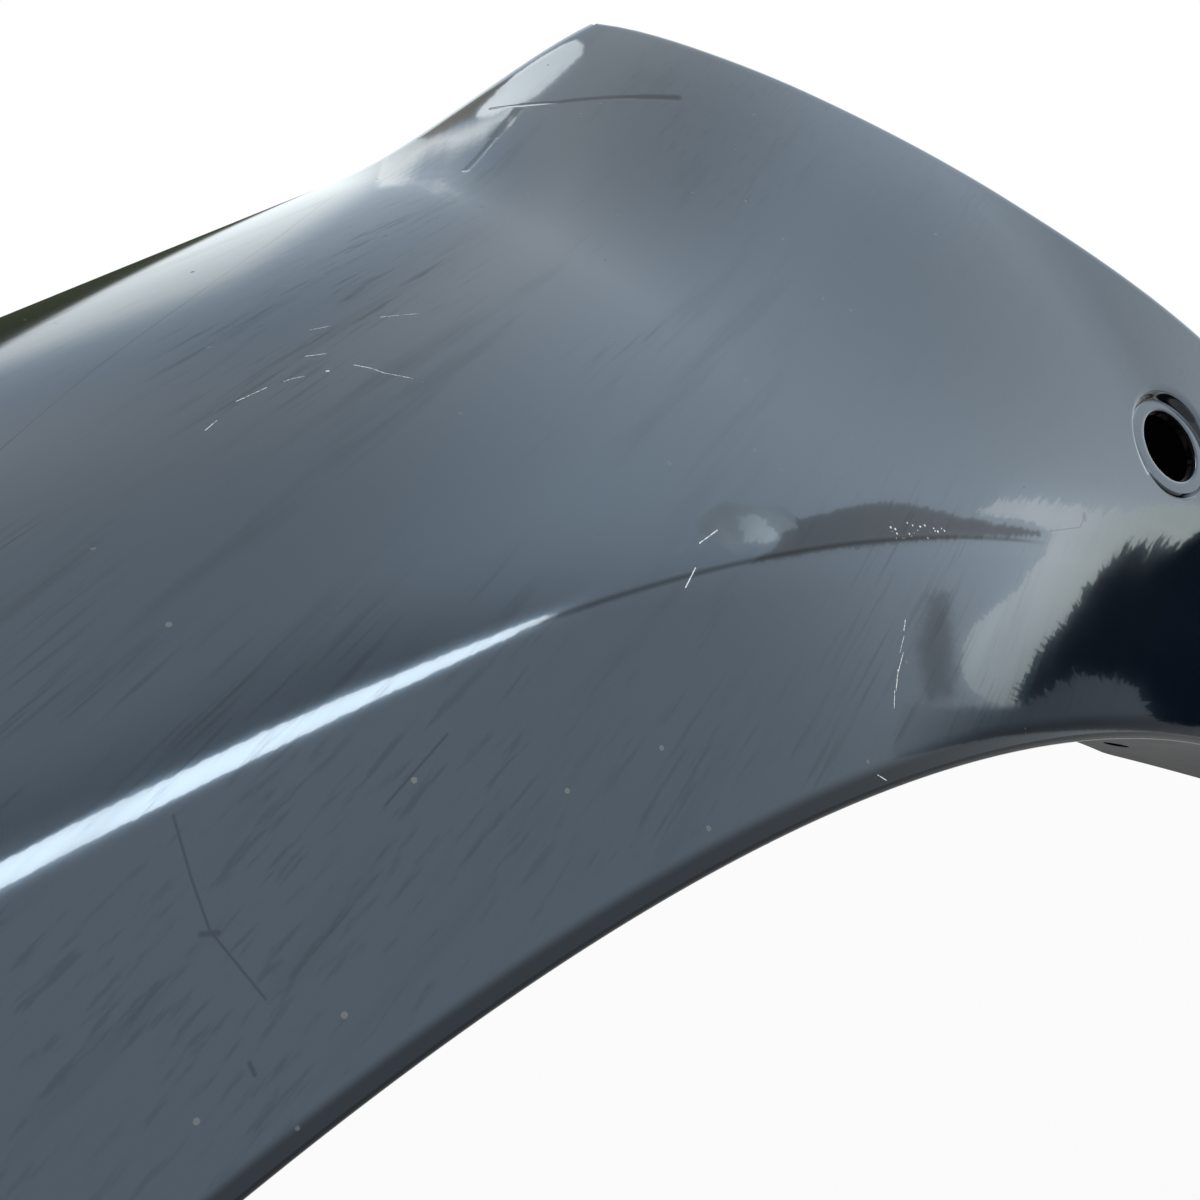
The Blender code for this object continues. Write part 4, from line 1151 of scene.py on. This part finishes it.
def buildHoleShadeCard():
    # a small matt black card behind the lamp hole on the camera's line of sight: painted shade, a dark sheet
    # that stands for the shade seen through the hole; it takes no part in the lighting
    centre = lampFrame()[1]
    sight = unit(centre - np.array(shot["place"]))
    up = unit(np.cross(np.cross(sight, [0.0, 0.0, 1.0]), sight))
    middle = centre + sight * holeShadeCard["behind"] - origin
    half = holeShadeCard["side"] / 2.0
    item = newObject("holeShadeCard", square(middle, np.cross(sight, up) * half, up * half), [(0, 1, 2, 3)])
    made, _, shader = newMaterial("holeShadeCard")
    shader.inputs["Base Color"].default_value = holeShadeCard["colour"]
    shader.inputs["Roughness"].default_value = holeShadeCard["roughness"]
    shader.inputs["Specular IOR Level"].default_value = 0.0
    item.data.materials.append(made)
    item.visible_diffuse = False
    item.visible_glossy = False
    item.visible_shadow = False


# the sky that the paint shows, in degrees: a low sky, a bright and a shaded part, a paler one over
# the horizon behind, a dim band that slopes across, and a dark hill
sky = dict(forLight=0.55, plain=(0.96, 1.00, 1.04, 1.0),
           bright=(1.34, 1.46, 1.56, 1.0), brightFrom=(-50.0, -72.0), brightTo=(-128.0, -88.0),
           brightUnder=(62.0, 32.0),
           shade=(0.62, 0.73, 0.84, 1.0), shadeFrom=(-108.0, -132.0), shadeUnder=(62.0, 45.0),
           low=(1.08, 1.17, 1.20, 1.0), lowFrom=(-140.0, -147.0), lowUnder=(41.0, 33.0),
           dim=(0.35, 0.38, 0.41, 1.0), dimShare=0.55, dimSlope=-0.6, dimFrom=(60.0, 69.0),
           dimTo=(96.0, 76.0), dimAhead=(-66.0, -50.0),
           hill=(0.045, 0.055, 0.035, 1.0), hillSlope=2.3, hillUnder=(-337.5, -343.5),
           hillFrom=(-140.0, -146.0))


def buildWorld():
    world = bpy.data.worlds.new("studio")
    bpy.context.scene.world = world
    world.use_nodes = True
    tree = world.node_tree
    tree.nodes.clear()
    way = put(tree, "ShaderNodeTexCoord").outputs["Generated"]
    x, y, z = put(tree, "ShaderNodeSeparateXYZ", {"Vector": way}).outputs[:3]
    azimuth = calc(tree, "ARCTAN2", x, y)
    elevation = calc(tree, "ARCSINE", z)

    def angled(value, name):
        return spread(tree, value, *[math.radians(edge) for edge in sky[name]])

    def under(name):
        return spread(tree, z, *[math.sin(math.radians(edge)) for edge in sky[name]])

    def sloping(name):
        return calc(tree, "MULTIPLY_ADD", azimuth, sky[name], elevation)

    bright = times(tree, angled(azimuth, "brightFrom"), angled(azimuth, "brightTo"), under("brightUnder"))
    shade = times(tree, angled(azimuth, "shadeFrom"), under("shadeUnder"))
    low = times(tree, under("lowUnder"), angled(azimuth, "lowFrom"))
    dimmed = sloping("dimSlope")
    dim = times(tree, angled(dimmed, "dimFrom"), angled(dimmed, "dimTo"), angled(azimuth, "dimAhead"),
                sky["dimShare"])
    hill = times(tree, angled(sloping("hillSlope"), "hillUnder"), angled(azimuth, "hillFrom"))
    shown = sky["plain"]
    for mask, name in ((bright, "bright"), (shade, "shade"), (low, "low"), (dim, "dim"), (hill, "hill")):
        shown = tint(tree, mask, shown, sky[name])

    rays = put(tree, "ShaderNodeLightPath").outputs
    white = (1.0, 1.0, 1.0, 1.0)
    plain = put(tree, "ShaderNodeBackground", {"Color": white, "Strength": sky["forLight"]}).outputs[0]
    glossy = put(tree, "ShaderNodeBackground", {"Color": shown}).outputs[0]
    page = put(tree, "ShaderNodeBackground", {"Color": white}).outputs[0]
    clear = largest(tree, rays["Is Glossy Ray"], rays["Is Transmission Ray"])
    first = put(tree, "ShaderNodeMixShader", {0: clear, 1: plain, 2: glossy}).outputs[0]
    second = put(tree, "ShaderNodeMixShader", {0: rays["Is Camera Ray"], 1: first, 2: page}).outputs[0]
    put(tree, "ShaderNodeOutputWorld", {"Surface": second}).is_active_output = True


buildFloor()
buildWorld()
buildKey()
cardNames = ("dark", "pale", "dull", "under", "lens", "spot", "dome", "flash", "wedge", "brown")
for seed, name in enumerate(cardNames, cards["firstSeed"]):
    buildCard(name, seed)
buildHoleShadeCard()
print("floor, lamps and world set")


def buildCamera():
    view = unit(np.array(shot["view"]))
    right = unit(np.array(shot["right"]) - view * (view @ shot["right"]))
    up = np.cross(right, view)
    data = bpy.data.cameras.new("camera")
    data.sensor_fit = "HORIZONTAL"
    data.angle = 2.0 * math.atan(shot["imageSide"] / 2.0 / shot["focalPixels"])
    data.clip_start = shot["clipStart"]
    item = bpy.data.objects.new("camera", data)
    spot = np.array(shot["place"]) - origin
    item.matrix_world = Matrix([[right[0], up[0], -view[0], spot[0]], [right[1], up[1], -view[1], spot[1]],
                                [right[2], up[2], -view[2], spot[2]], [0.0, 0.0, 0.0, 1.0]])
    bpy.context.scene.collection.objects.link(item)
    bpy.context.scene.camera = item


buildCamera()
bpy.context.scene.view_settings.view_transform = "Standard"
print("camera set")
